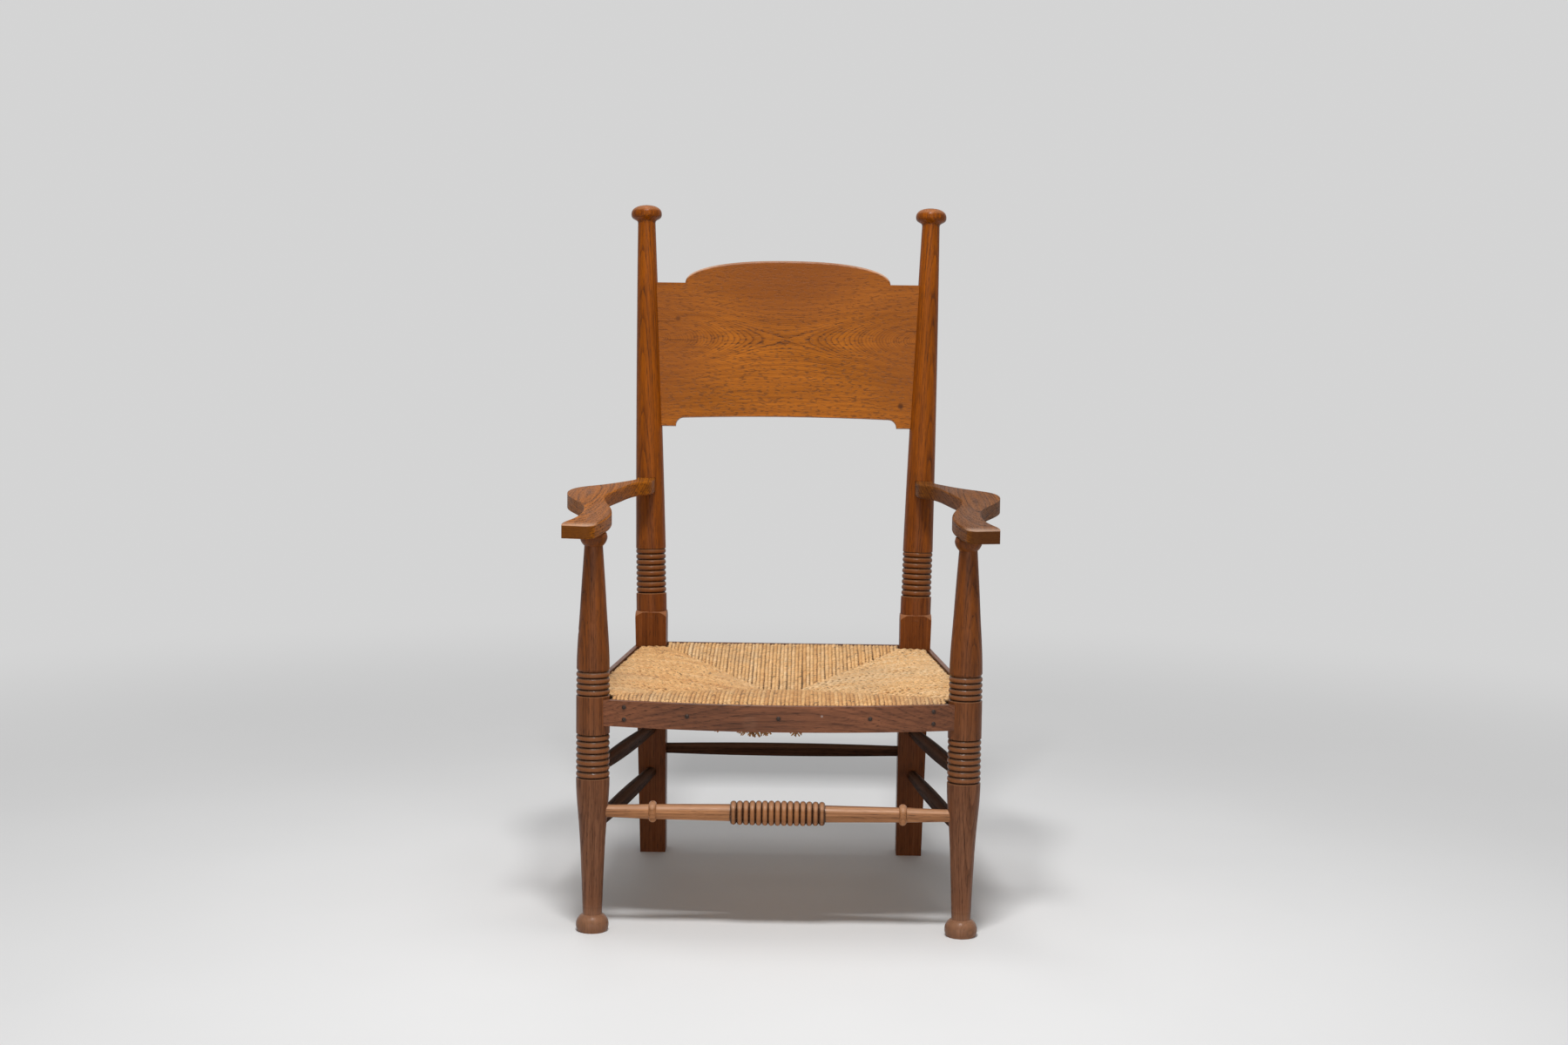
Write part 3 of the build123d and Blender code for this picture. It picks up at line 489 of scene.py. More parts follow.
    def mark(self, kit: NodeKit, place: Place, stir: Socket, colour: Socket) -> Socket:
        """Add knots, drying cracks, stains and chips.

        Args:
            kit: kit of the material's tree.
            place: place along, across and through the grain.
            stir: slow noise that bends the cracks.
            colour: the wood's colour so far.

        Returns:
            The colour with its marks.
        """
        along, across, _ = place
        for knot in self.knots:
            away = self.reach(kit, place, knot)
            core = kit.spread(away, knot.radius * knot.core, knot.radius, knot.dark, 0.0)
            colour = kit.mix(core, colour, self.groove_tone)
        for check in self.checks:
            bent = kit.math("SUBTRACT", kit.math("MULTIPLY_ADD", stir, check.sway, across), check.across)
            width = kit.spread(kit.math("ABSOLUTE", bent), *check.half_width, check.dark, 0.0)
            length = self.between(kit, along, (check.start, check.start + check.fade),
                                  (check.stop - check.fade, check.stop))
            colour = kit.mix(kit.times(width, length), colour, self.groove_tone)
        for spot in self.spots:
            away = self.reach(kit, place, spot)
            inside = kit.spread(away, spot.radius * spot.core, spot.radius, spot.strength, 0.0)
            colour = kit.mix(inside, colour, spot.tone)
        return colour

    def soil(self, kit: NodeKit, place: Place, colour: Socket) -> Socket:
        """Paint shade into the grooves of the turned rings, pale wear with a painted highlight onto their
        crests, and painted highlights onto the upper arrises.

        Args:
            kit: kit of the material's tree.
            place: place along, across and through the grain.
            colour: the wood's colour so far.

        Returns:
            The colour with painted shade, wear and painted highlights.
        """
        along, across, through = place
        radius = kit.length(kit.join(across, through, 0.0))
        for row in self.rings:
            inside = self.within(kit, along, row.span)
            # Painted shade darkens the lower part of each groove.
            unshaded_from = row.groove + row.grime_share * (row.crest - row.groove)
            low = kit.spread(radius, unshaded_from, row.crest, 1.0, 0.0)
            colour = kit.mix(kit.times(inside, low), colour, self.groove_tone)
            # Pale crests: wear, with a painted highlight.
            if self.worn_tone:
                crest_from, crest_full = (row.crest + step for step in row.worn)
                high = kit.spread(radius, crest_from, crest_full, 0.0, row.worn_share)
                colour = kit.mix(kit.times(inside, high), colour, self.worn_tone)
        # Painted highlight on the upward-facing arrises, and on flat tops where asked.
        if self.rubbed:
            up = kit.part(kit.coordinate("Normal"))[2]
            arris = kit.spread(up, *self.arris_up, 0.0, self.rubbed_share)
            if self.rubbed_until is None:
                where = kit.spread(up, *self.flat_up, 1.0, 0.0)
            else:
                ends = (self.rubbed_until + step for step in self.rubbed_fade)
                where = kit.spread(along, *ends, 1.0, 0.0)
            colour = kit.mix(kit.times(arris, where), colour, self.rubbed)
        return colour

    def build(self, grain: Grain) -> bpy.types.Material:
        """Make the material for pieces whose grain runs that way.

        Args:
            grain: how the grain runs.

        Returns:
            The material.
        """
        material, kit, shader = new_material(self.name, Specular_IOR_Level=self.gloss)
        place = self.axes(kit, grain)
        stir = kit.math("SUBTRACT", self.drawn(kit, place, self.slow), 0.5)
        early, group = self.growth(kit, grain, place, stir)
        streak = kit.spread(self.drawn(kit, place, self.streak), *MID_NOISE)
        fibre = self.drawn(kit, place, self.fibre)
        speck = kit.spread(self.drawn(kit, place, self.pores), *self.pore_noise)
        pore = kit.times(speck, kit.math("MULTIPLY_ADD", early, self.pore_early, 1.0 - self.pore_early))
        tone: Value = self.tone
        if self.low_tone:
            height = kit.part(kit.coordinate("Object"))[2]
            tone = kit.mix(kit.spread(height, self.low_from, self.low_to), self.low_tone, self.tone)
        share = kit.total(kit.times(early, self.ring_share), kit.times(group, self.band_share),
                          kit.times(streak, self.streak_share),
                          kit.spread(fibre, *FULL_NOISE, *self.fibre_share, soft=False))
        colour = kit.mix(share, tone, self.deep)
        colour = kit.mix(kit.times(pore, self.pore_share), colour, self.groove_tone)
        broad = self.drawn(kit, place, self.broad)
        shade = kit.spread(broad, *FULL_NOISE, 1.0 - self.patch, 1.0 + self.patch, soft=False)
        colour = kit.shade(colour, shade, shade, shade)
        if self.end_share:
            along = tuple(Vector(grain.along).normalized())
            facing = kit.math("ABSOLUTE", kit.vector("DOT_PRODUCT", kit.coordinate("Normal"), along))
            colour = kit.mix(kit.spread(facing, *self.end_facing, 0.0, self.end_share), colour, self.deep)
        colour = self.mark(kit, place, stir, self.soil(kit, place, colour))
        rough = kit.spread(broad, *FULL_NOISE, self.rough - self.rough_patch, self.rough + self.rough_patch)
        if self.polished:
            handled = kit.total(*[self.within(kit, place[0], span) for span in self.polished])
            rough = kit.math("MULTIPLY_ADD", handled, -self.polish, rough)
            colour = kit.mix(kit.times(handled, self.polish_deep), colour, self.deep)
        coat(kit, shader, colour, kit.math("MULTIPLY_ADD", pore, self.pore_rough, rough),
             kit.math("SUBTRACT", kit.times(fibre, self.fibre_height), pore), self.bump)
        return material


@dataclass(frozen=True)
class DarkSteel:
    """Darkened steel of the pins' round heads."""

    name: str = "pin_dark_steel"
    metal: float = 0.55
    spot_scale: float = 900.0
    tones: Stops = ((0.35, (0.016, 0.01, 0.008)), (0.6, (0.05, 0.03, 0.022)), (0.75, (0.12, 0.065, 0.04)))
    rough: Pair = (0.4, 0.62)
    bump: Pair = (0.0003, 0.4)

    def build(self) -> bpy.types.Material:
        """Make the material.

        Returns:
            Dark steel with small rusty spots.
        """
        material, kit, shader = new_material(self.name, Metallic=self.metal)
        spots = kit.noise(kit.coordinate("Object"), scale=self.spot_scale, detail=3.0)[0]
        coat(kit, shader, kit.ramp(spots, self.tones), kit.spread(spots, *FULL_NOISE, *self.rough),
             spots, self.bump)
        return material


@dataclass(frozen=True)
class Straw:
    """Chopped straw of the pad."""

    name: str = "straw_pad"
    blades: Triple = (420.0, 60.0, 420.0)  # blades per metre along each axis
    tones: Stops = ((0.3, (0.06, 0.04, 0.02)), (0.55, (0.2, 0.13, 0.06)), (0.75, (0.36, 0.25, 0.12)))
    rough: Pair = (0.95, 0.8)
    bump: Pair = (0.002, 0.8)

    def build(self) -> bpy.types.Material:
        """Make the material.

        Returns:
            Straw in blades that lie from front to back.
        """
        material, kit, shader = new_material(self.name)
        blades = kit.noise(kit.vector("MULTIPLY", kit.coordinate("Object"), self.blades), detail=3.0)[0]
        coat(kit, shader, kit.ramp(blades, self.tones), kit.spread(blades, *FULL_NOISE, *self.rough),
             blades, self.bump)
        return material


@dataclass(frozen=True)
class Rush:
    """Twisted dry rush, with each strand's own tone, long fibres and dark flecks."""

    name: str = "dry_rush"
    tones: Stops = ((0.0, (0.42, 0.19, 0.06)), (0.3, (0.7, 0.36, 0.125)), (0.55, (0.82, 0.475, 0.19)),
                    (0.8, (0.88, 0.56, 0.27)), (1.0, (0.9, 0.64, 0.36)))
    sheen: Pair = (0.12, 0.5)  # its weight and roughness
    tone_start: float = 37.0  # how far apart the strands' noises are
    fibres: Pair = (2.6, 30.0)  # features over a strand's half width, and per metre along it
    flecks: Pair = (1.1, 120.0)
    stretches: float = 48.0  # changes of tone per metre along a strand
    stretch_share: float = 0.2
    line_range: Pair = (0.3, 0.66)
    line_shade: Pair = (0.6, 1.12)
    side_range: Pair = (0.1, 0.85)  # how far up or down a strand's side faces, where shade is painted
    # how dark the painted shade on the strands' sides is
    side_shade: float = 0.5
    green_power: float = 1.15  # how much more the shade takes from green and blue
    blue_power: float = 1.4
    fleck_range: Pair = (0.63, 0.72)
    fleck_share: float = 0.8
    fleck_tone: Triple = (0.08, 0.045, 0.02)
    dull_scale: float = 7.0
    dull_range: Pair = (0.45, 0.75)
    dull_share: float = 0.4
    dull_tone: Triple = (0.45, 0.31, 0.18)
    rough: Pair = (0.74, 0.54)
    bump: Pair = (0.0006, 0.6)

    def wrapped(self, kit: NodeKit, wrap: Place, start: Socket, scale: Pair) -> Socket:
        """Where a strand's noise is read, so that it winds round with the strand.

        Args:
            kit: kit of the material's tree.
            wrap: the two places across the strand, and the length along it.
            start: the strand's own start in the noise.
            scale: features across the strand, and per metre along it.

        Returns:
            The place's socket.
        """
        across, along = scale
        return kit.join(kit.math("MULTIPLY_ADD", wrap[0], across, start), kit.times(wrap[1], across),
                        kit.times(wrap[2], along))

    def build(self) -> bpy.types.Material:
        """Make the material.

        Returns:
            A material that reads the strands' tone and their own frame from attributes.
        """
        sheen, sheen_rough = self.sheen
        material, kit, shader = new_material(self.name, Sheen_Weight=sheen, Sheen_Roughness=sheen_rough)
        tone = kit.add("ShaderNodeAttribute", attribute_name="tone").outputs["Fac"]
        wrap = kit.part(kit.add("ShaderNodeAttribute", attribute_name="strand").outputs["Vector"])
        start = kit.times(tone, self.tone_start)
        fibre = kit.noise(self.wrapped(kit, wrap, start, self.fibres), detail=3.0, roughness=0.6)[0]
        stretch = kit.noise(kit.join(start, 0.0, kit.times(wrap[2], self.stretches)), detail=2.0)[0]
        change = kit.spread(stretch, *FULL_NOISE, -self.stretch_share, self.stretch_share, soft=False)
        colour = kit.ramp(kit.math("ADD", tone, change, clamp=True), self.tones)
        up = kit.math("ABSOLUTE", kit.part(kit.coordinate("Normal"))[2])
        # Fibre streaks, and painted shade on the strands' sides, where they meet their neighbours.
        lines = kit.times(kit.spread(fibre, *self.line_range, *self.line_shade, soft=False),
                          kit.spread(up, *self.side_range, self.side_shade, 1.0, soft=False))
        colour = kit.shade(colour, lines, kit.math("POWER", lines, self.green_power),
                           kit.math("POWER", lines, self.blue_power))
        fleck = kit.noise(self.wrapped(kit, wrap, start, self.flecks), detail=1.0)[0]
        fleck = kit.spread(fleck, *self.fleck_range, 0.0, self.fleck_share)
        colour = kit.mix(fleck, colour, self.fleck_tone)
        area = kit.noise(kit.coordinate("Object"), scale=self.dull_scale, detail=2.0)[0]
        area = kit.spread(area, *self.dull_range, 0.0, self.dull_share)
        colour = kit.mix(area, colour, self.dull_tone)
        coat(kit, shader, colour, kit.spread(fibre, *FULL_NOISE, *self.rough), fibre, self.bump)
        return material


@dataclass
class SeatPlan:
    """The seat's own plane and the lines of its rails, in metres, as the solids have them."""

    front_y: float = -0.25774
    height: float = 0.339
    tilt: float = math.radians(0.6)
    bow_radius: float = 1.04835
    bow_middle: float = 1.00046
    bow_half: float = 0.25  # half the width over which the front is bowed
    front_inset: float = 0.0093
    side_front: float = 0.289
    side_slope: float = -0.1092
    side_inset: float = 0.0068
    rear_face: float = 0.49475
    front_corner: Pair = (0.2375, 0.0275)
    back_corner: Pair = (0.1857, 0.4428)
    ridge_half: float = 0.028
    ridge_y: float = 0.2247
    crest_inset: float = 0.014
    dish: float = 0.028
    sag: float = 0.005

    def place(self, x: float, y: float, z: float) -> Vector:
        """Point given in the seat's plane, in the chair's frame."""
        return Vector((x, self.front_y + y * math.cos(self.tilt) - z * math.sin(self.tilt),
                       self.height + y * math.sin(self.tilt) + z * math.cos(self.tilt)))

    def front_line(self, x: float, inset: float) -> float:
        """Place of the bowed front face of the rush, drawn in by an inset."""
        return self.bow_middle - math.sqrt((self.bow_radius - self.front_inset - inset) ** 2 - x * x)

    def bowed_line(self, x: float, inset: float) -> float:
        """The same, but level beyond the bow's half width."""
        return self.front_line(min(abs(x), self.bow_half), inset)

    def side_line(self, y: float, inset: float) -> float:
        """Distance from the middle to the side face of the rush, drawn in by an inset."""
        slant = math.hypot(1, self.side_slope)
        return self.side_front + self.side_slope * y - (self.side_inset + inset) * slant

    def rear_line(self, inset: float) -> float:
        """Place of the rear face of the rush, drawn in by an inset."""
        return self.rear_face - self.side_inset - inset

    def mitre_of_row(self, across: float, corner: Pair) -> Pair:
        """Where a front or back strand meets its mitre.

        Args:
            across: the strand's distance from the middle.
            corner: where that mitre starts, beside the post.

        Returns:
            Place along the seat's depth, and the share of the way from corner to ridge.
        """
        share = min(1.0, (corner[0] - abs(across)) / (corner[0] - self.ridge_half))
        return corner[1] + share * (self.ridge_y - corner[1]), share

    def mitre_of_side(self, y: float) -> Pair:
        """Where a side strand meets its mitre.

        Args:
            y: the strand's place along the seat's depth.

        Returns:
            Distance from the middle, and the share of the way from corner to ridge.
        """
        corner = self.front_corner if y < self.ridge_y else self.back_corner
        share = (y - corner[1]) / (self.ridge_y - corner[1])
        return corner[0] - share * (corner[0] - self.ridge_half), share

    def share_at(self, x: float, y: float) -> float:
        """How deep the dish is at a point of the seat.

        Args:
            x: the point's place across the seat.
            y: its place along the seat's depth.

        Returns:
            Share of the dish's full depth, 0 at the rails and 1 at the ridge.
        """
        crest = self.crest_inset
        side = self.side_line(y, crest) - abs(x)
        parts = ((y - self.bowed_line(x, crest)) / (self.ridge_y - self.front_line(0.0, crest)),
                 (self.rear_line(crest) - y) / (self.rear_line(crest) - self.ridge_y),
                 side / (self.side_line(self.ridge_y, crest) - self.ridge_half))
        return max(0.0, min(1.0, *parts))


class Panel(Enum):
    """The four wound panels of the seat."""

    FRONT = "front"
    BACK = "back"
    LEFT = "left"
    RIGHT = "right"


@dataclass(frozen=True)
class Twine:
    """Sizes of a twisted strand, in metres, under the names of the strand tree's inputs."""

    thickness: float  # half its width
    flatness: float  # its thickness over its width
    twist: float  # length of one full turn
    step: float  # length between its sections
    waver: float  # how far it strays

    def inputs(self) -> dict[str, float]:
        """The sizes by the names of the tree's inputs."""
        return {name.capitalize(): size for name, size in asdict(self).items()}


def place_mesh(name: str, mesh: bpy.types.Mesh) -> bpy.types.Object:
    """Put a mesh into the scene.

    Args:
        name: the new object's name.
        mesh: the mesh, with its place in its points.

    Returns:
        The object, at the origin.
    """
    piece = bpy.data.objects.new(name, mesh)
    bpy.context.scene.collection.objects.link(piece)
    return piece


@dataclass
class StrandTree:
    """Geometry Nodes tree that lays a twisted strand along every line of a mesh."""

    name: str = "rush_strands"
    sides: int = 7
    own_start: float = 53.0  # how far apart the strands' noises are
    drift_scale: float = 22.0
    swell_scale: float = 40.0
    swell: Pair = (0.86, 1.12)
    sockets: dict[str, str] = field(default_factory=dict)
    group: Optional[bpy.types.GeometryNodeTree] = None

    def capture(self, kit: NodeKit, geometry: Socket, kind: str, name: str, value: Socket) -> Place:
        """Keep a value on a geometry's points.

        Args:
            kit: kit of the tree.
            geometry: the geometry.
            kind: the value's type.
            name: the value's name.
            value: the value.

        Returns:
            The outputs, among them Geometry and the value under its name.
        """
        node = kit.add("GeometryNodeCaptureAttribute", {"Geometry": geometry})
        node.capture_items.new(kind, name)
        kit.feed(node.inputs[name], value)
        return node.outputs

    def build(self) -> None:
        """Make the tree with its named inputs, and keep the inputs' identifiers."""
        self.group = bpy.data.node_groups.new(self.name, "GeometryNodeTree")
        face = self.group.interface
        kinds = {"Geometry": "Geometry", "Thickness": "Float", "Flatness": "Float", "Twist": "Float",
                 "Step": "Float", "Waver": "Float", "Material": "Material"}
        for label, kind in kinds.items():
            item = face.new_socket(label, in_out="INPUT", socket_type=f"NodeSocket{kind}")
            self.sockets[label] = item.identifier
        face.new_socket("Geometry", in_out="OUTPUT", socket_type="NodeSocketGeometry")
        kit = NodeKit(self.group)
        source = kit.add("NodeGroupInput").outputs
        line = kit.add("GeometryNodeMeshToCurve", {"Mesh": source["Geometry"]})
        line = kit.add("GeometryNodeResampleCurve", {"Curve": line.outputs[0], "Length": source["Step"]},
                       mode="LENGTH")
        tone = kit.add("GeometryNodeInputNamedAttribute", {"Name": "tone"}, data_type="FLOAT")
        own = kit.times(tone.outputs["Attribute"], self.own_start)
        where = kit.add("GeometryNodeInputPosition").outputs[0]
        drift = kit.noise(kit.vector("ADD", where, kit.join(own, own, 0.0)), scale=self.drift_scale)
        away = kit.vector("SUBTRACT", drift["Color"], (0.5, 0.5, 0.5))
        away = kit.add("ShaderNodeVectorMath", {0: away, "Scale": source["Waver"]}, operation="SCALE")
        line = kit.add("GeometryNodeSetPosition", {
            "Geometry": line.outputs[0], "Offset": away.outputs["Vector"]})
        run = kit.add("GeometryNodeSplineParameter").outputs["Length"]
        turn = kit.math("ADD", kit.math("DIVIDE", kit.times(run, 2 * math.pi), source["Twist"]), own)
        line = kit.add("GeometryNodeSetCurveTilt", {"Curve": line.outputs[0], "Tilt": turn})
        held = self.capture(kit, line.outputs[0], "FLOAT", "run", run)
        swell = kit.noise(kit.vector("ADD", where, kit.join(own, 0.0, own)),
                          scale=self.swell_scale, detail=1.0)[0]
        size = kit.times(source["Thickness"], kit.spread(swell, *FULL_NOISE, *self.swell, soft=False))
        circle = kit.add("GeometryNodeCurvePrimitiveCircle", {"Resolution": self.sides, "Radius": 1.0})
        outline = self.capture(kit, circle.outputs["Curve"], "VECTOR", "around",
                               kit.add("GeometryNodeInputPosition").outputs[0])
        flat = kit.add("GeometryNodeTransform", {
            "Geometry": outline["Geometry"], "Scale": kit.join(1.0, source["Flatness"], 1.0)})
        strand = kit.add("GeometryNodeCurveToMesh", {
            "Curve": held["Geometry"], "Profile Curve": flat.outputs[0], "Scale": size, "Fill Caps": True})
        around = kit.part(outline["around"])
        strand = kit.add("GeometryNodeStoreNamedAttribute", {
            "Geometry": strand.outputs[0], "Name": "strand",
            "Value": kit.join(around[0], around[1], held["run"])}, data_type="FLOAT_VECTOR", domain="POINT")
        for kind in ("SetShadeSmooth", "RealizeInstances"):
            strand = kit.add(f"GeometryNode{kind}", {"Geometry": strand.outputs[0]})
        strand = kit.add("GeometryNodeSetMaterial", {
            "Geometry": strand.outputs[0], "Material": source["Material"]})
        kit.add("NodeGroupOutput", (strand.outputs[0],))

    def spin(self, name: str, paths: Sequence[Sequence[Vector]], tones: Sequence[float], twine: Twine,
             material: bpy.types.Material) -> bpy.types.Object:
        """Lay strands along paths and return them as one plain mesh.

        Args:
            name: the piece's name.
            paths: the strands' middle lines.
            tones: each strand's own tone, 0 to 1.
            twine: the strands' sizes.
            material: the strands' material.

        Returns:
            The piece, at the origin, with no modifier left.
        """
        points: list[Vector] = []
        edges: list[tuple[int, int]] = []
        shades: list[float] = []
        for path, tone in zip(paths, tones):
            first = len(points)
            points.extend(path)
            shades.extend([tone] * len(path))
            edges.extend((i, i + 1) for i in range(first, first + len(path) - 1))
        mesh = bpy.data.meshes.new(f"{name}_lines")
        mesh.from_pydata(points, edges, [])
        mesh.attributes.new("tone", "FLOAT", "POINT").data.foreach_set("value", shades)
        lines = place_mesh(f"{name}_lines", mesh)
        modifier = lines.modifiers.new("strands", "NODES")
        modifier.node_group = self.group
        for label, value in {**twine.inputs(), "Material": material}.items():
            modifier[self.sockets[label]] = value
        graph = bpy.context.evaluated_depsgraph_get()
        spun = bpy.data.meshes.new_from_object(lines.evaluated_get(graph), depsgraph=graph)
        bpy.data.objects.remove(lines)
        bpy.data.meshes.remove(mesh)
        spun.name = name
        if not spun.materials:
            spun.materials.append(material)
        LOG.info("%s: %d strands, %d faces", name, len(paths), len(spun.polygons))
        return place_mesh(name, spun)


@dataclass(frozen=True)
class Tuft:
    """A bunch of broken rush ends: its middle, their number, and how far they spread and hang."""

    middle: float
    count: int
    spread: float
    fall: float


@dataclass
class RushSeat:
    """The wound seat: four panels of strands over hidden rails, a straw pad, and a few frayed ends."""

    plan: SeatPlan = field(default_factory=SeatPlan)
    tree: StrandTree = field(default_factory=StrandTree)
    twine: Twine = Twine(0.0042, 0.62, 0.021, 0.003, 0.0013)
    pitch: float = 0.0059
    top: float = 0.002
    bottom: float = -0.037
    edge_round: float = 0.009
    round_steps: int = 6
    line_steps: int = 7
    puff: float = 0.004
    puff_span: float = 0.12  # length from which a strand is puffed up in full
    tuck: float = 0.007
    under_tuck: float = 0.6  # share of the tuck that the lower layer has
    stray: float = 0.0004
    lift: float = 0.0008
    slip: float = 0.0008
    seed: int = 11
    # each panel's mean tone; the differences between panels are painted sheen, as light falls differently on
    # strands that run different ways
    mean_tone: dict[Panel, float] = field(default_factory=lambda: {
        Panel.FRONT: 0.42, Panel.BACK: 0.62, Panel.LEFT: 0.72, Panel.RIGHT: 0.48})
    tone_spread: float = 0.1
    pad_inset: float = 0.0262
    pad_gap: float = 0.0004
    pad_drop: float = 0.0006
    pad_rows: int = 36
    pad_columns: int = 40
    fray_twine: Twine = Twine(0.0013, 0.6, 0.02, 0.002, 0.002)
    tufts: tuple[Tuft, ...] = (Tuft(-0.034, 34, 0.013, 0.0085), Tuft(0.027, 9, 0.0035, 0.0075),
                               Tuft(-0.068, 14, 0.012, 0.0035), Tuft(-0.005, 10, 0.012, 0.003))
    fray_seed: int = 51
    fray_steps: int = 6
    fray_inset: float = 0.003
    fray_root: float = 0.004  # how far up inside the seat an end starts
    fray_curl: float = 0.012  # how far behind the front it starts
    fray_bend: float = 1.4
    fray_drop: Pair = (0.5, 1.1)  # shares of its tuft's fall
    fray_lean_x: Pair = (-0.01, 0.01)
    fray_lean_y: Pair = (-0.004, 0.012)
    fray_tone: Pair = (0.0, 0.4)

    def turn(self, centre: Pair, start: float, stop: float) -> list[Pair]:
        """Points of a strand round the edge of a rail.

        Args:
            centre: inset and height of the rounding's centre.
            start: first angle, in degrees.
            stop: last angle, in degrees.

        Returns:
            Insets and heights along the arc.
        """
        radius = self.edge_round - self.twine.thickness
        steps = self.round_steps
        angles = [math.radians(start + (stop - start) * i / steps) for i in range(steps + 1)]
        return [(centre[0] + radius * math.cos(a), centre[1] + radius * math.sin(a)) for a in angles]

    def section(self, run: float, share: float, lift: float) -> list[Pair]:
        """A strand's line in the upright plane through it, from mitre to mitre.

        Args:
            run: distance from the rush's outer face to the mitre.
            share: share of the way from corner to ridge, which sets the dish.
            lift: this strand's own height above its neighbours.

        Returns:
            Insets from the outer face and heights in the seat's plane.
        """
        half = self.twine.thickness
        high = self.top - half + lift
        low = self.bottom + half
        crest = self.plan.crest_inset
        span = max(run - crest, 0.0)
        dish, sag = self.plan.dish * share, self.plan.sag * share
        shares = [i / self.line_steps for i in range(self.line_steps + 1)]
        line: list[Pair] = [(run + self.tuck, high - dish - self.tuck)]
        for back in shares:
            t = 1 - back
            bulge = self.puff * min(1.0, span / self.puff_span) * math.sin(math.pi * t)
            line.append((crest + span * t, high - dish * t + bulge))
        line += self.turn((self.edge_round, high - self.edge_round + half), 90, 180)
        line += self.turn((self.edge_round, low + self.edge_round - half), 180, 270)
        line += [(crest + span * t, low - sag * t) for t in shares]
        under = self.tuck * self.under_tuck
        line.append((run + under, low - sag + under))
        return line

    def strand(self, panel: Panel, place: float, lift: float, slip: float) -> list[Vector]:
        """A strand's middle line in the chair's frame.

        Args:
            panel: the panel that it belongs to.
            place: its place along the rail.
            lift: its own height above its neighbours.
            slip: how far its inner end strays sideways.

        Returns:
            The points of the line.
        """
        plan = self.plan
        if panel in (Panel.FRONT, Panel.BACK):
            front = panel is Panel.FRONT
            mitre, share = plan.mitre_of_row(place, plan.front_corner if front else plan.back_corner)
            outer = plan.front_line(place, 0.0) if front else plan.rear_line(0.0)
            way = 1 if front else -1
            run = (mitre - outer) * way
            return [plan.place(place + slip * min(1.0, inset / run), outer + way * inset, z)
                    for inset, z in self.section(run, share, lift)]
        side = 1 if panel is Panel.LEFT else -1
        mitre, share = plan.mitre_of_side(place)
        outer = plan.side_line(place, 0.0)
        run = outer - mitre
        return [plan.place(side * (outer - inset), place + slip * min(1.0, inset / run), z)
                for inset, z in self.section(run, share, lift)]

    def places(self, panel: Panel) -> list[float]:
        """Places of a panel's strands.

        Args:
            panel: the panel.

        Returns:
            Their places along the panel's rail.
        """
        front, back = self.plan.front_corner, self.plan.back_corner
        rows = {Panel.FRONT: (-front[0], front[0]), Panel.BACK: (-back[0], back[0])}
        low, high = rows.get(panel, (front[1], back[1]))
        count = round((high - low) / self.pitch)
        return [low + (high - low) * (i + 0.5) / count for i in range(count)]

    def build_panel(self, number: int, panel: Panel, material: bpy.types.Material) -> bpy.types.Object:
        """Lay the strands of one panel.

        Args:
            number: the panel's number, which sets what is drawn at random.
            panel: the panel.
            material: the rush.

        Returns:
            The panel's strands as one piece.
        """
        draw = random.Random(self.seed + number)
        paths, tones = [], []
        for place in self.places(panel):
            stray, lift, slip = (draw.uniform(-most, most) for most in (self.stray, self.lift, self.slip))
            paths.append(self.strand(panel, place + stray, lift, slip))
            tones.append(min(1.0, max(0.0, draw.gauss(self.mean_tone[panel], self.tone_spread))))
        return self.tree.spin(f"rush_{panel.value}_strands", paths, tones, self.twine, material)

    def build_pad(self, material: bpy.types.Material) -> bpy.types.Object:
        """Make the straw pad between the two layers of rush.

        Args:
            material: the straw.

        Returns:
            The pad, a closed form that follows the dish above and the sag below.
        """
        plan, rows, columns = self.plan, self.pad_rows, self.pad_columns
        layer = 2 * self.twine.thickness + self.pad_gap
        front = plan.front_line(0.0, self.pad_inset)
        upper: list[Vector] = []
        lower: list[Vector] = []
        for j in range(rows + 1):
            y = front + (plan.rear_line(self.pad_inset) - front) * j / rows
            half = plan.side_line(y, self.pad_inset)
            for i in range(columns + 1):
                x = half * (2 * i / columns - 1)
                depth = max(y, plan.bowed_line(x, self.pad_inset))
                share = plan.share_at(x, depth)
                upper.append(plan.place(x, depth, self.top - layer - plan.dish * share - self.pad_drop))
                lower.append(plan.place(x, depth, self.bottom + layer - plan.sag * share))
        stride, size = columns + 1, len(upper)
        faces: list[tuple[int, ...]] = []
        for j in range(rows):
            for i in range(columns):
                a = j * stride + i
                quad = (a, a + 1, a + stride + 1, a + stride)
                faces += [quad, tuple(size + quad[k] for k in (0, 3, 2, 1))]
        rim = list(range(stride))
        rim += [j * stride + columns for j in range(1, rows + 1)]
        rim += [rows * stride + i for i in range(columns - 1, -1, -1)]
        rim += [j * stride for j in range(rows - 1, 0, -1)]
        faces += [(b, a, size + a, size + b) for a, b in zip(rim, rim[1:] + rim[:1])]
        mesh = bpy.data.meshes.new("rush_straw_pad")
        mesh.from_pydata(upper + lower, [], faces)
        mesh.materials.append(material)
        mesh.shade_smooth()
        LOG.info("rush_straw_pad: %d faces", len(faces))
        return place_mesh("rush_straw_pad", mesh)

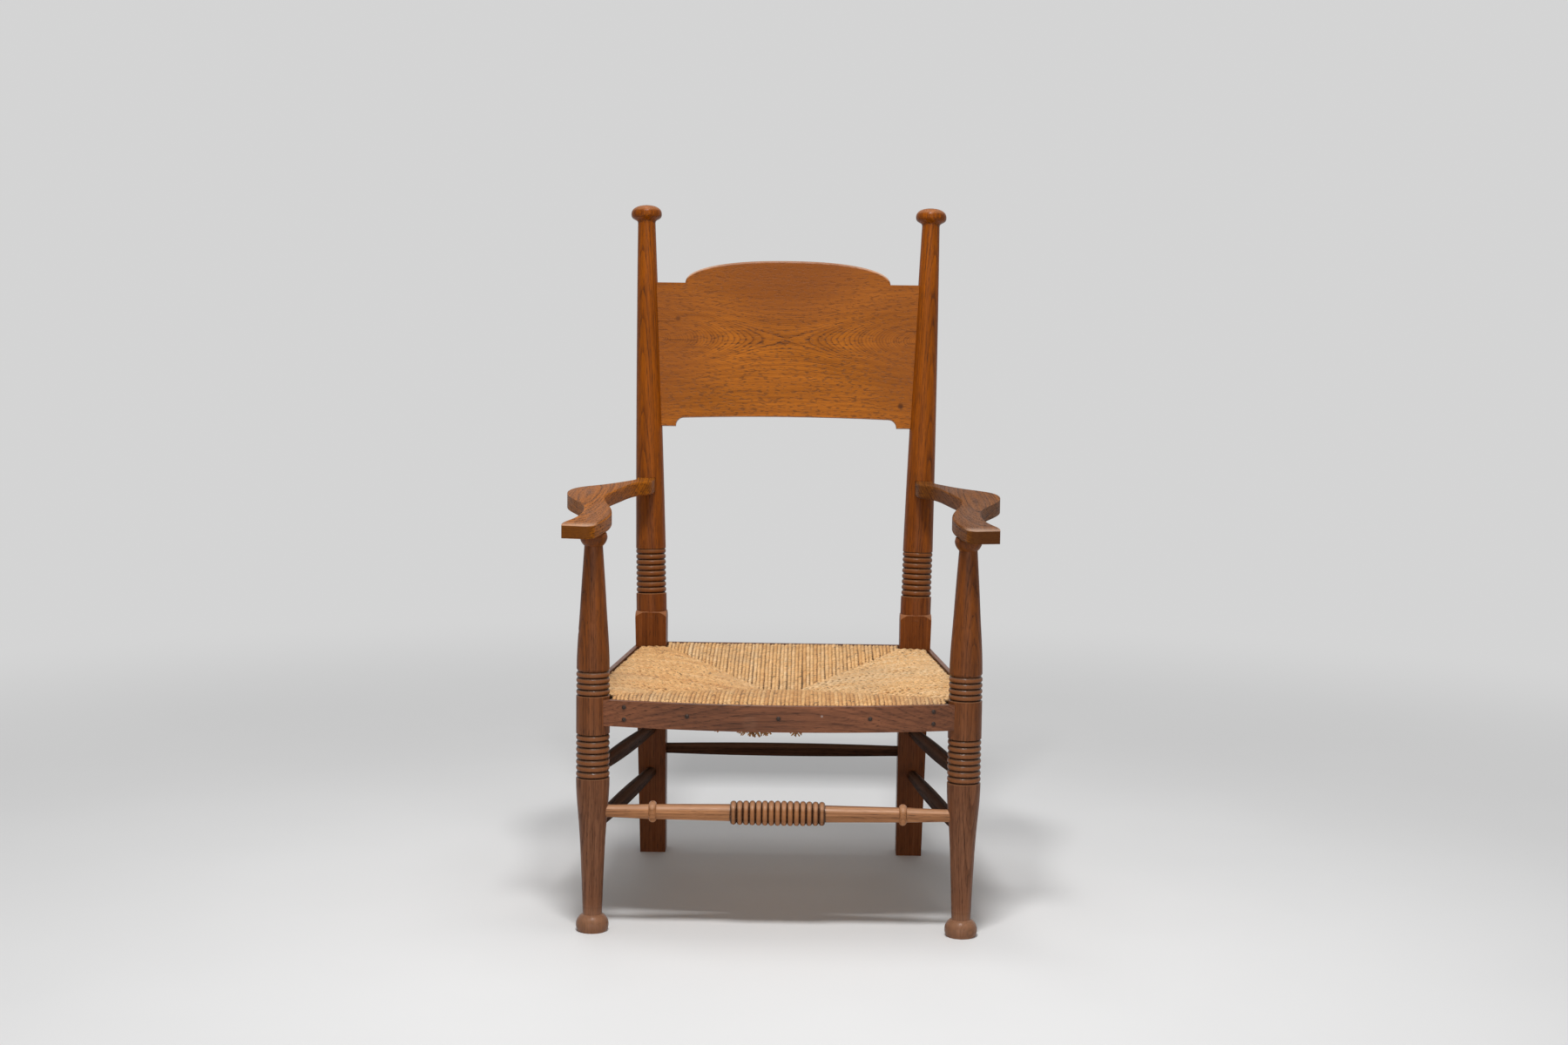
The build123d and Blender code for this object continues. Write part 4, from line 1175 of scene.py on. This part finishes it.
    def build_frays(self, material: bpy.types.Material) -> bpy.types.Object:
        """Make the broken ends that hang below the front board.

        Args:
            material: the rush.

        Returns:
            The frayed ends as one piece.
        """
        draw = random.Random(self.fray_seed)
        shares = [i / self.fray_steps for i in range(self.fray_steps + 1)]
        paths, tones = [], []
        for tuft in self.tufts:
            for _ in range(tuft.count):
                x = tuft.middle + draw.gauss(0.0, tuft.spread)
                start = self.plan.front_line(x, self.fray_inset)
                drop = tuft.fall * draw.uniform(*self.fray_drop) + self.fray_root
                lean_x, lean_y = draw.uniform(*self.fray_lean_x), draw.uniform(*self.fray_lean_y)
                paths.append([self.plan.place(
                    x + lean_x * t * t, start + self.fray_curl * (1 - t) ** 2 + lean_y * t,
                    self.bottom + self.fray_root - drop * t ** self.fray_bend) for t in shares])
                tones.append(draw.uniform(*self.fray_tone))
        return self.tree.spin("rush_frayed_ends", paths, tones, self.fray_twine, material)

    def build(self, rush: bpy.types.Material, straw: bpy.types.Material) -> None:
        """Build the seat and tie its pieces to the frame.

        Args:
            rush: material of the strands.
            straw: material of the pad.
        """
        self.tree.build()
        for number, panel in enumerate(Panel):
            piece = self.build_panel(number, panel, rush)
            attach(piece, "root")
            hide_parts("rush_seat")
        pad = self.build_pad(straw)
        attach(pad, "root")
        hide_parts("rush_stuffing")
        frays = self.build_frays(rush)
        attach(frays, "root")


@dataclass
class WoodFrame:
    """The turned posts, arms, boards, rails and stretchers, which keep their solids' shapes."""

    front_x: float = 0.265
    front_y: float = -0.25774
    back_x: float = 0.2095
    back_y: float = 0.21026
    foot_kick: float = 0.016  # how far behind that the back feet stand
    bend_height: float = 0.5424  # where the back posts bend
    bend_y: float = 0.0062
    back_lean: float = math.radians(9.2)
    back_board_height: float = 0.82
    front_board_height: float = 0.3205

    def paint_node(self, node: str, material: bpy.types.Material) -> None:
        """Put a material on one of the solids.

        Args:
            node: its name.
            material: its material.
        """
        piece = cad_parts[node]
        if not piece.material_slots:
            piece.data.materials.append(material)
        for slot in piece.material_slots:
            slot.material = material
        LOG.info("%s: %s", node, material.name)

    def dress_node(self, node: str, finish: Oak, grain: Grain) -> None:
        """Put oak on one of the solids, with its grain running that way."""
        self.paint_node(node, finish.build(grain))

    def dress_front_posts(self) -> None:
        """Finish the front posts: warm at the top, duller and greyer towards the feet."""
        rows = (RingRow(0.225, 0.287, 0.0216, 0.0236), RingRow(0.344, 0.3776, 0.0216, 0.0236))
        foot = (-0.01, 0.036)
        piths = ((0.03, -0.05), (-0.045, -0.035))
        for (side, sign), pith in zip(SIDES, piths):
            # Painted shade in the ring grooves, pale crests that are wear with a painted highlight, and
            # painted highlights on the upper arrises.
            finish = Oak(f"front_post_oak_{side}", tone=(0.19, 0.051, 0.007), deep=(0.06, 0.016, 0.004),
                         low_tone=(0.215, 0.088, 0.042), low_from=0.1, low_to=0.48, gloss=0.15,
                         ring_share=0.34, streak_share=0.27, rings=rows, worn_tone=(0.25, 0.088, 0.028),
                         polished=(foot, *(row.span for row in rows)),
                         rubbed=(0.4, 0.2, 0.11), rubbed_share=0.3,
                         # The pale spot round the foot is a painted highlight.
                         spots=(Spot(0.008, 0.0, 0.036, (0.4, 0.21, 0.12), 0.34),))
            grain = Grain((sign * self.front_x, self.front_y, 0.0), UPWARDS, SIDEWAYS, pith, bow=0.02)
            self.dress_node(f"front_post_{side}", finish, grain)

    def dress_back_posts(self) -> None:
        """Finish the back posts, whose grain follows their bend."""
        row = RingRow(0.429, 0.5005, 0.0217, 0.0238)
        button = (1.026, 1.07)
        collar = 0.4  # height at which the legs' kick ends
        piths = ((0.04, -0.05), (-0.03, -0.055))
        for (side, sign), pith in zip(SIDES, piths):
            # The darker low tone is painted shade on the lower legs. The ring groove has painted shade, its
            # crests wear with a painted highlight, and the upper arrises and button painted highlights.
            finish = Oak(f"back_post_oak_{side}", tone=(0.28, 0.069, 0.002), deep=(0.09, 0.02, 0.002),
                         low_tone=(0.15, 0.046, 0.014), low_from=0.1, low_to=0.8, gloss=0.12,
                         streak_share=0.3, rings=(row,), worn_tone=(0.195, 0.065, 0.017),
                         polished=(row.span, button), rubbed=(0.45, 0.2, 0.09), rubbed_share=0.4)
            path = (Stretch(0.0, collar, sign * 0.0045, -self.foot_kick),
                    Stretch(collar, self.bend_height, sign * 0.003, self.bend_y),
                    Stretch(self.bend_height, 1.06, sign * 0.0158, 0.0838))
            foot = (sign * self.back_x, self.back_y + self.foot_kick, 0.0)
            grain = Grain(foot, UPWARDS, SIDEWAYS, pith, bow=0.02, path=path)
            self.dress_node(f"back_post_{side}", finish, grain)

    def dress_back_board(self) -> None:
        """Finish the back board: flat-sawn oak whose figure narrows towards its middle."""
        edge = (0.19, 0.054, 0.01)
        # The pale band along the arch's upper arris is a painted highlight.
        finish = Oak("back_board_oak", tone=(0.4, 0.12, 0.009), deep=(0.1, 0.026, 0.004),
                     ring_pitch=0.0016, warp=0.005, ring_share=0.46, band_share=0.12, streak_share=0.16,
                     pore_share=0.85, pores=Streak(430.0, 105.0, 1.0), patch=0.12, gloss=0.12,
                     rubbed=(0.85, 0.6, 0.44), rubbed_share=0.85, end_share=0.5,
                     knots=(Knot(-0.1775, 0.0505, 0.0058), Knot(0.1853, -0.088, 0.0064)),
                     checks=(Check(-0.215, -0.178, 0.046), Check(0.188, 0.22, 0.034),
                             Check(-0.22, -0.192, 0.032), Check(-0.2, -0.14, 0.016),
                             Check(0.192, 0.215, 0.014)),
                     spots=(Spot(0.0, 0.22, 0.24, edge, 0.8), Spot(-0.27, 0.02, 0.2, edge, 0.6),
                            Spot(0.27, 0.02, 0.2, edge, 0.5)))
        behind = self.bend_y + (self.back_board_height - self.bend_height) * math.tan(self.back_lean)
        grain = Grain((0.0, self.back_y + behind, self.back_board_height), SIDEWAYS,
                      (0.0, math.sin(self.back_lean), math.cos(self.back_lean)), (0.018, 0.06), bow=1.08)
        self.dress_node("back_panel", finish, grain)

    def dress_arms(self) -> None:
        """Finish the arms: speckled flat-sawn oak with broad dark pores, the right one paler."""
        looks = (((0.02, -0.04), (0.2, 0.066, 0.01), (0.075, 0.024, 0.006)),
                 ((-0.025, -0.045), (0.37, 0.112, 0.007), (0.12, 0.037, 0.006)))
        for (side, sign), (pith, tone, deep) in zip(SIDES, looks):
            # The pale upper arrises, and the tops near the tips, are painted highlights.
            finish = Oak(f"arm_oak_{side}", tone=tone, deep=deep, ring_pitch=0.0034, warp=0.008,
                         ring_share=0.5, pore_share=0.9, pores=Streak(560.0, 110.0, 1.0), rough=0.46,
                         gloss=0.06, rubbed=(0.72, 0.5, 0.37), rubbed_share=0.62, rubbed_until=-0.308,
                         end_share=0.85)
            grain = Grain((sign * 0.27, 0.0, 0.59), (0.0, 1.0, 0.045), SIDEWAYS, pith, bow=0.25)
            self.dress_node(f"arm_{side}", finish, grain)

    def front_board_marks(self) -> tuple[Spot, ...]:
        """Marks on the front board.

        Returns:
            Dark stains round its pins, a pale chip and a dull blotch.
        """
        places = [(x, 0.0) for x in (-0.129, 0.0, 0.129)]
        places += [(x, z) for x in (-0.219, 0.219) for z in (-0.00875, 0.00875)]
        stains = [Spot(x, z, 0.0056, (0.03, 0.012, 0.007), 0.4) for x, z in places]
        chip = Spot(0.061, 0.0045, 0.0022, (0.5, 0.44, 0.4), 0.4)
        blotch = Spot(-0.04, -0.006, 0.014, (0.25, 0.12, 0.07), 0.16)
        return (*stains, chip, blotch)

    def dress_boards(self) -> None:
        """Finish the cover boards round the seat: red-brown, stained round the pins of the front one."""
        base = dict(tone=(0.2, 0.071, 0.031), deep=(0.075, 0.026, 0.012), ring_pitch=0.0034, warp=0.008,
                    patch=0.2, ring_share=0.3, streak_share=0.35)
        front = Oak("front_board_oak", **base, spots=self.front_board_marks())
        self.dress_node("front_cover_board", front, Grain(
            (0.0, self.front_y, self.front_board_height), SIDEWAYS, UPWARDS, (0.035, -0.03), bow=0.04))
        self.dress_node("back_cover_board", Oak("back_cover_oak", **base), Grain(
            (0.0, self.back_y + 0.025, 0.325), SIDEWAYS, UPWARDS, (-0.03, 0.04), bow=0.1))
        for side, sign in SIDES:
            grain = Grain((sign * 0.262, 0.0, 0.322), (-sign * 0.109, 1.0, 0.01), UPWARDS,
                          (0.03, sign * 0.04), bow=0.1)
            self.dress_node(f"side_cover_board_{side}", Oak(f"side_board_oak_{side}", **base), grain)

    def dress_stretchers(self) -> None:
        """Finish the stretchers: the front one pale, the others nearly black with age, all with painted
        highlights on their upper arrises.
        """
        row = RingRow(-0.0677, 0.0677, 0.0142, 0.0172)
        pith = (0.03, -0.03)
        # Painted shade in the ring grooves, pale crests that are wear with a painted highlight, and painted
        # highlights on the upper arrises.
        front = Oak("front_stretcher_oak", tone=(0.4, 0.175, 0.07), deep=(0.17, 0.066, 0.025), rings=(row,),
                    polished=(row.span,), rubbed=(0.66, 0.38, 0.23), rubbed_share=0.42,
                    worn_tone=(0.36, 0.142, 0.05), groove_tone=(0.06, 0.026, 0.013))
        self.dress_node("front_stretcher", front, Grain((0.0, self.front_y, 0.175), SIDEWAYS, UPWARDS, pith))
        # The brown upper arrises of the dark stretchers are a painted reflection.
        dark = dict(tone=(0.07, 0.03, 0.016), deep=(0.022, 0.009, 0.005), groove_tone=(0.006, 0.003, 0.002),
                    rough=0.6, gloss=0.02, rubbed=(0.17, 0.09, 0.055), rubbed_share=0.5)
        self.dress_node("back_stretcher", Oak("back_stretcher_oak", **dark), Grain(
            (0.0, self.back_y + 0.0092, 0.171), SIDEWAYS, UPWARDS, pith))
        for level, fall in (("upper", -0.062), ("lower", -0.037)):
            for side, sign in SIDES:
                grain = Grain((sign * 0.238, -0.02, 0.2), (-sign * 0.115, 1.0, fall), UPWARDS,
                              (0.03, sign * 0.03))
                self.dress_node(f"{level}_side_stretcher_{side}",
                                Oak(f"{level}_stretcher_oak_{side}", **dark), grain)

    def dress_rails(self) -> None:
        """Finish the hidden seat rails: plain sawn wood."""
        rails = (("front_seat_rail", "front_seat_rail_wood", SIDEWAYS),
                 ("back_seat_rail", "back_seat_rail_wood", SIDEWAYS),
                 ("side_seat_rail_left", "side_seat_rail_wood_left", BACKWARDS),
                 ("side_seat_rail_right", "side_seat_rail_wood_right", BACKWARDS))
        for node, name, along in rails:
            low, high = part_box(node)
            finish = Oak(name, tone=(0.42, 0.29, 0.16), deep=(0.26, 0.16, 0.08),
                         groove_tone=(0.12, 0.07, 0.035), rough=0.7)
            self.dress_node(node, finish, Grain(tuple((low + high) / 2), along, UPWARDS, (0.03, -0.03)))

    def dress_pins(self) -> None:
        """Finish the pins of the cover boards."""
        steel = DarkSteel().build()
        for node in ("front_cover_pins", "side_cover_pins_left", "side_cover_pins_right", "back_cover_pins"):
            self.paint_node(node, steel)

    def dress(self) -> None:
        """Put a finish on every wooden piece and pin."""
        self.dress_front_posts()
        self.dress_back_posts()
        self.dress_back_board()
        self.dress_arms()
        self.dress_boards()
        self.dress_stretchers()
        self.dress_rails()
        self.dress_pins()


@dataclass(frozen=True)
class Lamp:
    """A soft lamp with a flat front."""

    name: str
    place: Triple
    aim: Triple
    size: Pair
    power: float
    mirrored: bool = True

    def build(self) -> None:
        """Hang the lamp, with or without its reflections."""
        data = bpy.data.lights.new(self.name, "AREA")
        data.shape = "RECTANGLE"
        data.size, data.size_y = self.size
        data.energy = self.power
        lamp = bpy.data.objects.new(self.name, data)
        lamp.visible_glossy = self.mirrored
        lamp.location = self.place
        lamp.rotation_euler = (Vector(self.aim) - Vector(self.place)).to_track_quat("-Z", "Y").to_euler()
        bpy.context.scene.collection.objects.link(lamp)


@dataclass
class Studio:
    """Plain pale floor, soft lamps and the camera."""

    camera_place: Triple = (0.038, -3.5058, 0.928)
    yaw: float = math.radians(-0.60)
    pitch: float = math.radians(-5.88)
    roll: float = math.radians(0.70)
    lens: float = 53.08
    sensor: float = 36.0
    floor_half: float = 40.0
    floor_tone: float = 0.82
    floor_cloud: float = 0.012
    floor_rough: float = 0.85
    cloud_scale: float = 1.5
    fade: Pair = (0.6, 3.0)  # distances at which the floor starts to fade and is gone
    pale: float = 0.66
    sky_light: float = 0.17
    lamps: tuple[Lamp, ...] = (
        Lamp("front_overhead_lamp", (-0.05, -1.45, 3.0), (0.0, -0.1, 0.4), (0.7, 0.4), 66.0),
        Lamp("back_overhead_lamp", (0.05, 0.05, 3.0), (0.0, 0.0, 0.3), (1.8, 0.6), 17.0),
        Lamp("high_back_lamp", (0.0, 3.4, 2.6), (0.0, 0.2, 0.5), (3.0, 1.5), 14.0, mirrored=False),
        Lamp("long_front_lamp", (0.1, -4.6, 0.8), (0.0, 0.0, 0.5), (5.0, 1.6), 46.0),
    )

    def build_camera(self) -> None:
        """Place the camera at the photograph's viewing angle."""
        level = math.cos(self.pitch)
        forward = Vector((math.sin(self.yaw) * level, math.cos(self.yaw) * level, math.sin(self.pitch)))
        right = Vector((math.cos(self.yaw), -math.sin(self.yaw), 0.0))
        up = right.cross(forward)
        turned_right = right * math.cos(self.roll) + up * math.sin(self.roll)
        turned_up = up * math.cos(self.roll) - right * math.sin(self.roll)
        data = bpy.data.cameras.new("camera")
        data.lens = self.lens
        data.sensor_width = self.sensor
        camera = bpy.data.objects.new("camera", data)
        turn = Matrix((turned_right, turned_up, -forward)).transposed().to_4x4()
        camera.matrix_world = Matrix.Translation(self.camera_place) @ turn
        bpy.context.scene.collection.objects.link(camera)
        bpy.context.scene.camera = camera

    def seen(self, kit: NodeKit) -> Socket:
        """Tell what is seen from what only lights the chair.

        Args:
            kit: kit of the tree.

        Returns:
            1 for what the camera or a reflection sees, and 0 for the light that falls on the chair.
        """
        rays = kit.add("ShaderNodeLightPath").outputs
        bright = kit.math("MAXIMUM", rays["Is Glossy Ray"], rays["Is Transmission Ray"])
        return kit.math("MAXIMUM", rays["Is Camera Ray"], bright)

    def build_floor(self) -> None:
        """Lay a pale floor that fades into the background away from the chair."""
        half = self.floor_half
        mesh = bpy.data.meshes.new("floor")
        mesh.from_pydata([(-half, -half, 0), (half, -half, 0), (half, half, 0), (-half, half, 0)],
                         [], [(0, 1, 2, 3)])
        material, kit, shader = new_material("pale_floor", Roughness=self.floor_rough)
        point = kit.coordinate("Object")
        cloud = kit.noise(point, scale=self.cloud_scale, detail=3.0)[0]
        tone = kit.spread(cloud, *FULL_NOISE, self.floor_tone - self.floor_cloud,
                          self.floor_tone + self.floor_cloud)
        kit.feed(shader.inputs["Base Color"], kit.join(tone, tone, tone))
        glow = kit.add("ShaderNodeEmission", {"Strength": self.pale})
        gone = kit.times(self.seen(kit), kit.spread(kit.length(point), *self.fade))
        blend = kit.add("ShaderNodeMixShader", (gone, shader.outputs[0], glow.outputs[0]))
        kit.feed(material.node_tree.nodes["Material Output"].inputs["Surface"], blend.outputs[0])
        mesh.materials.append(material)
        floor = place_mesh("floor", mesh)

    def build_sky(self) -> None:
        """Light the scene softly from all round, with a pale background."""
        world = bpy.data.worlds.new("studio")
        world.use_nodes = True
        bpy.context.scene.world = world
        kit = NodeKit(world.node_tree)
        background = world.node_tree.nodes["Background"]
        background.inputs["Color"].default_value = (1.0, 1.0, 1.0, 1.0)
        kit.feed(background.inputs["Strength"],
                 kit.spread(self.seen(kit), 0.0, 1.0, self.sky_light, self.pale, soft=False))

    def build(self) -> None:
        """Set the whole scene up."""
        self.build_camera()
        self.build_floor()
        self.build_sky()
        for lamp in self.lamps:
            lamp.build()
        bpy.context.scene.view_settings.view_transform = "Standard"


def main() -> None:
    """Build the studio, dress the wood and wind the seat."""
    logging.basicConfig(level=logging.INFO, format="%(name)s: %(message)s")
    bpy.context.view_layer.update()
    Studio().build()
    WoodFrame().dress()
    RushSeat().build(Rush().build(), Straw().build())


if __name__ == "__main__":
    main()
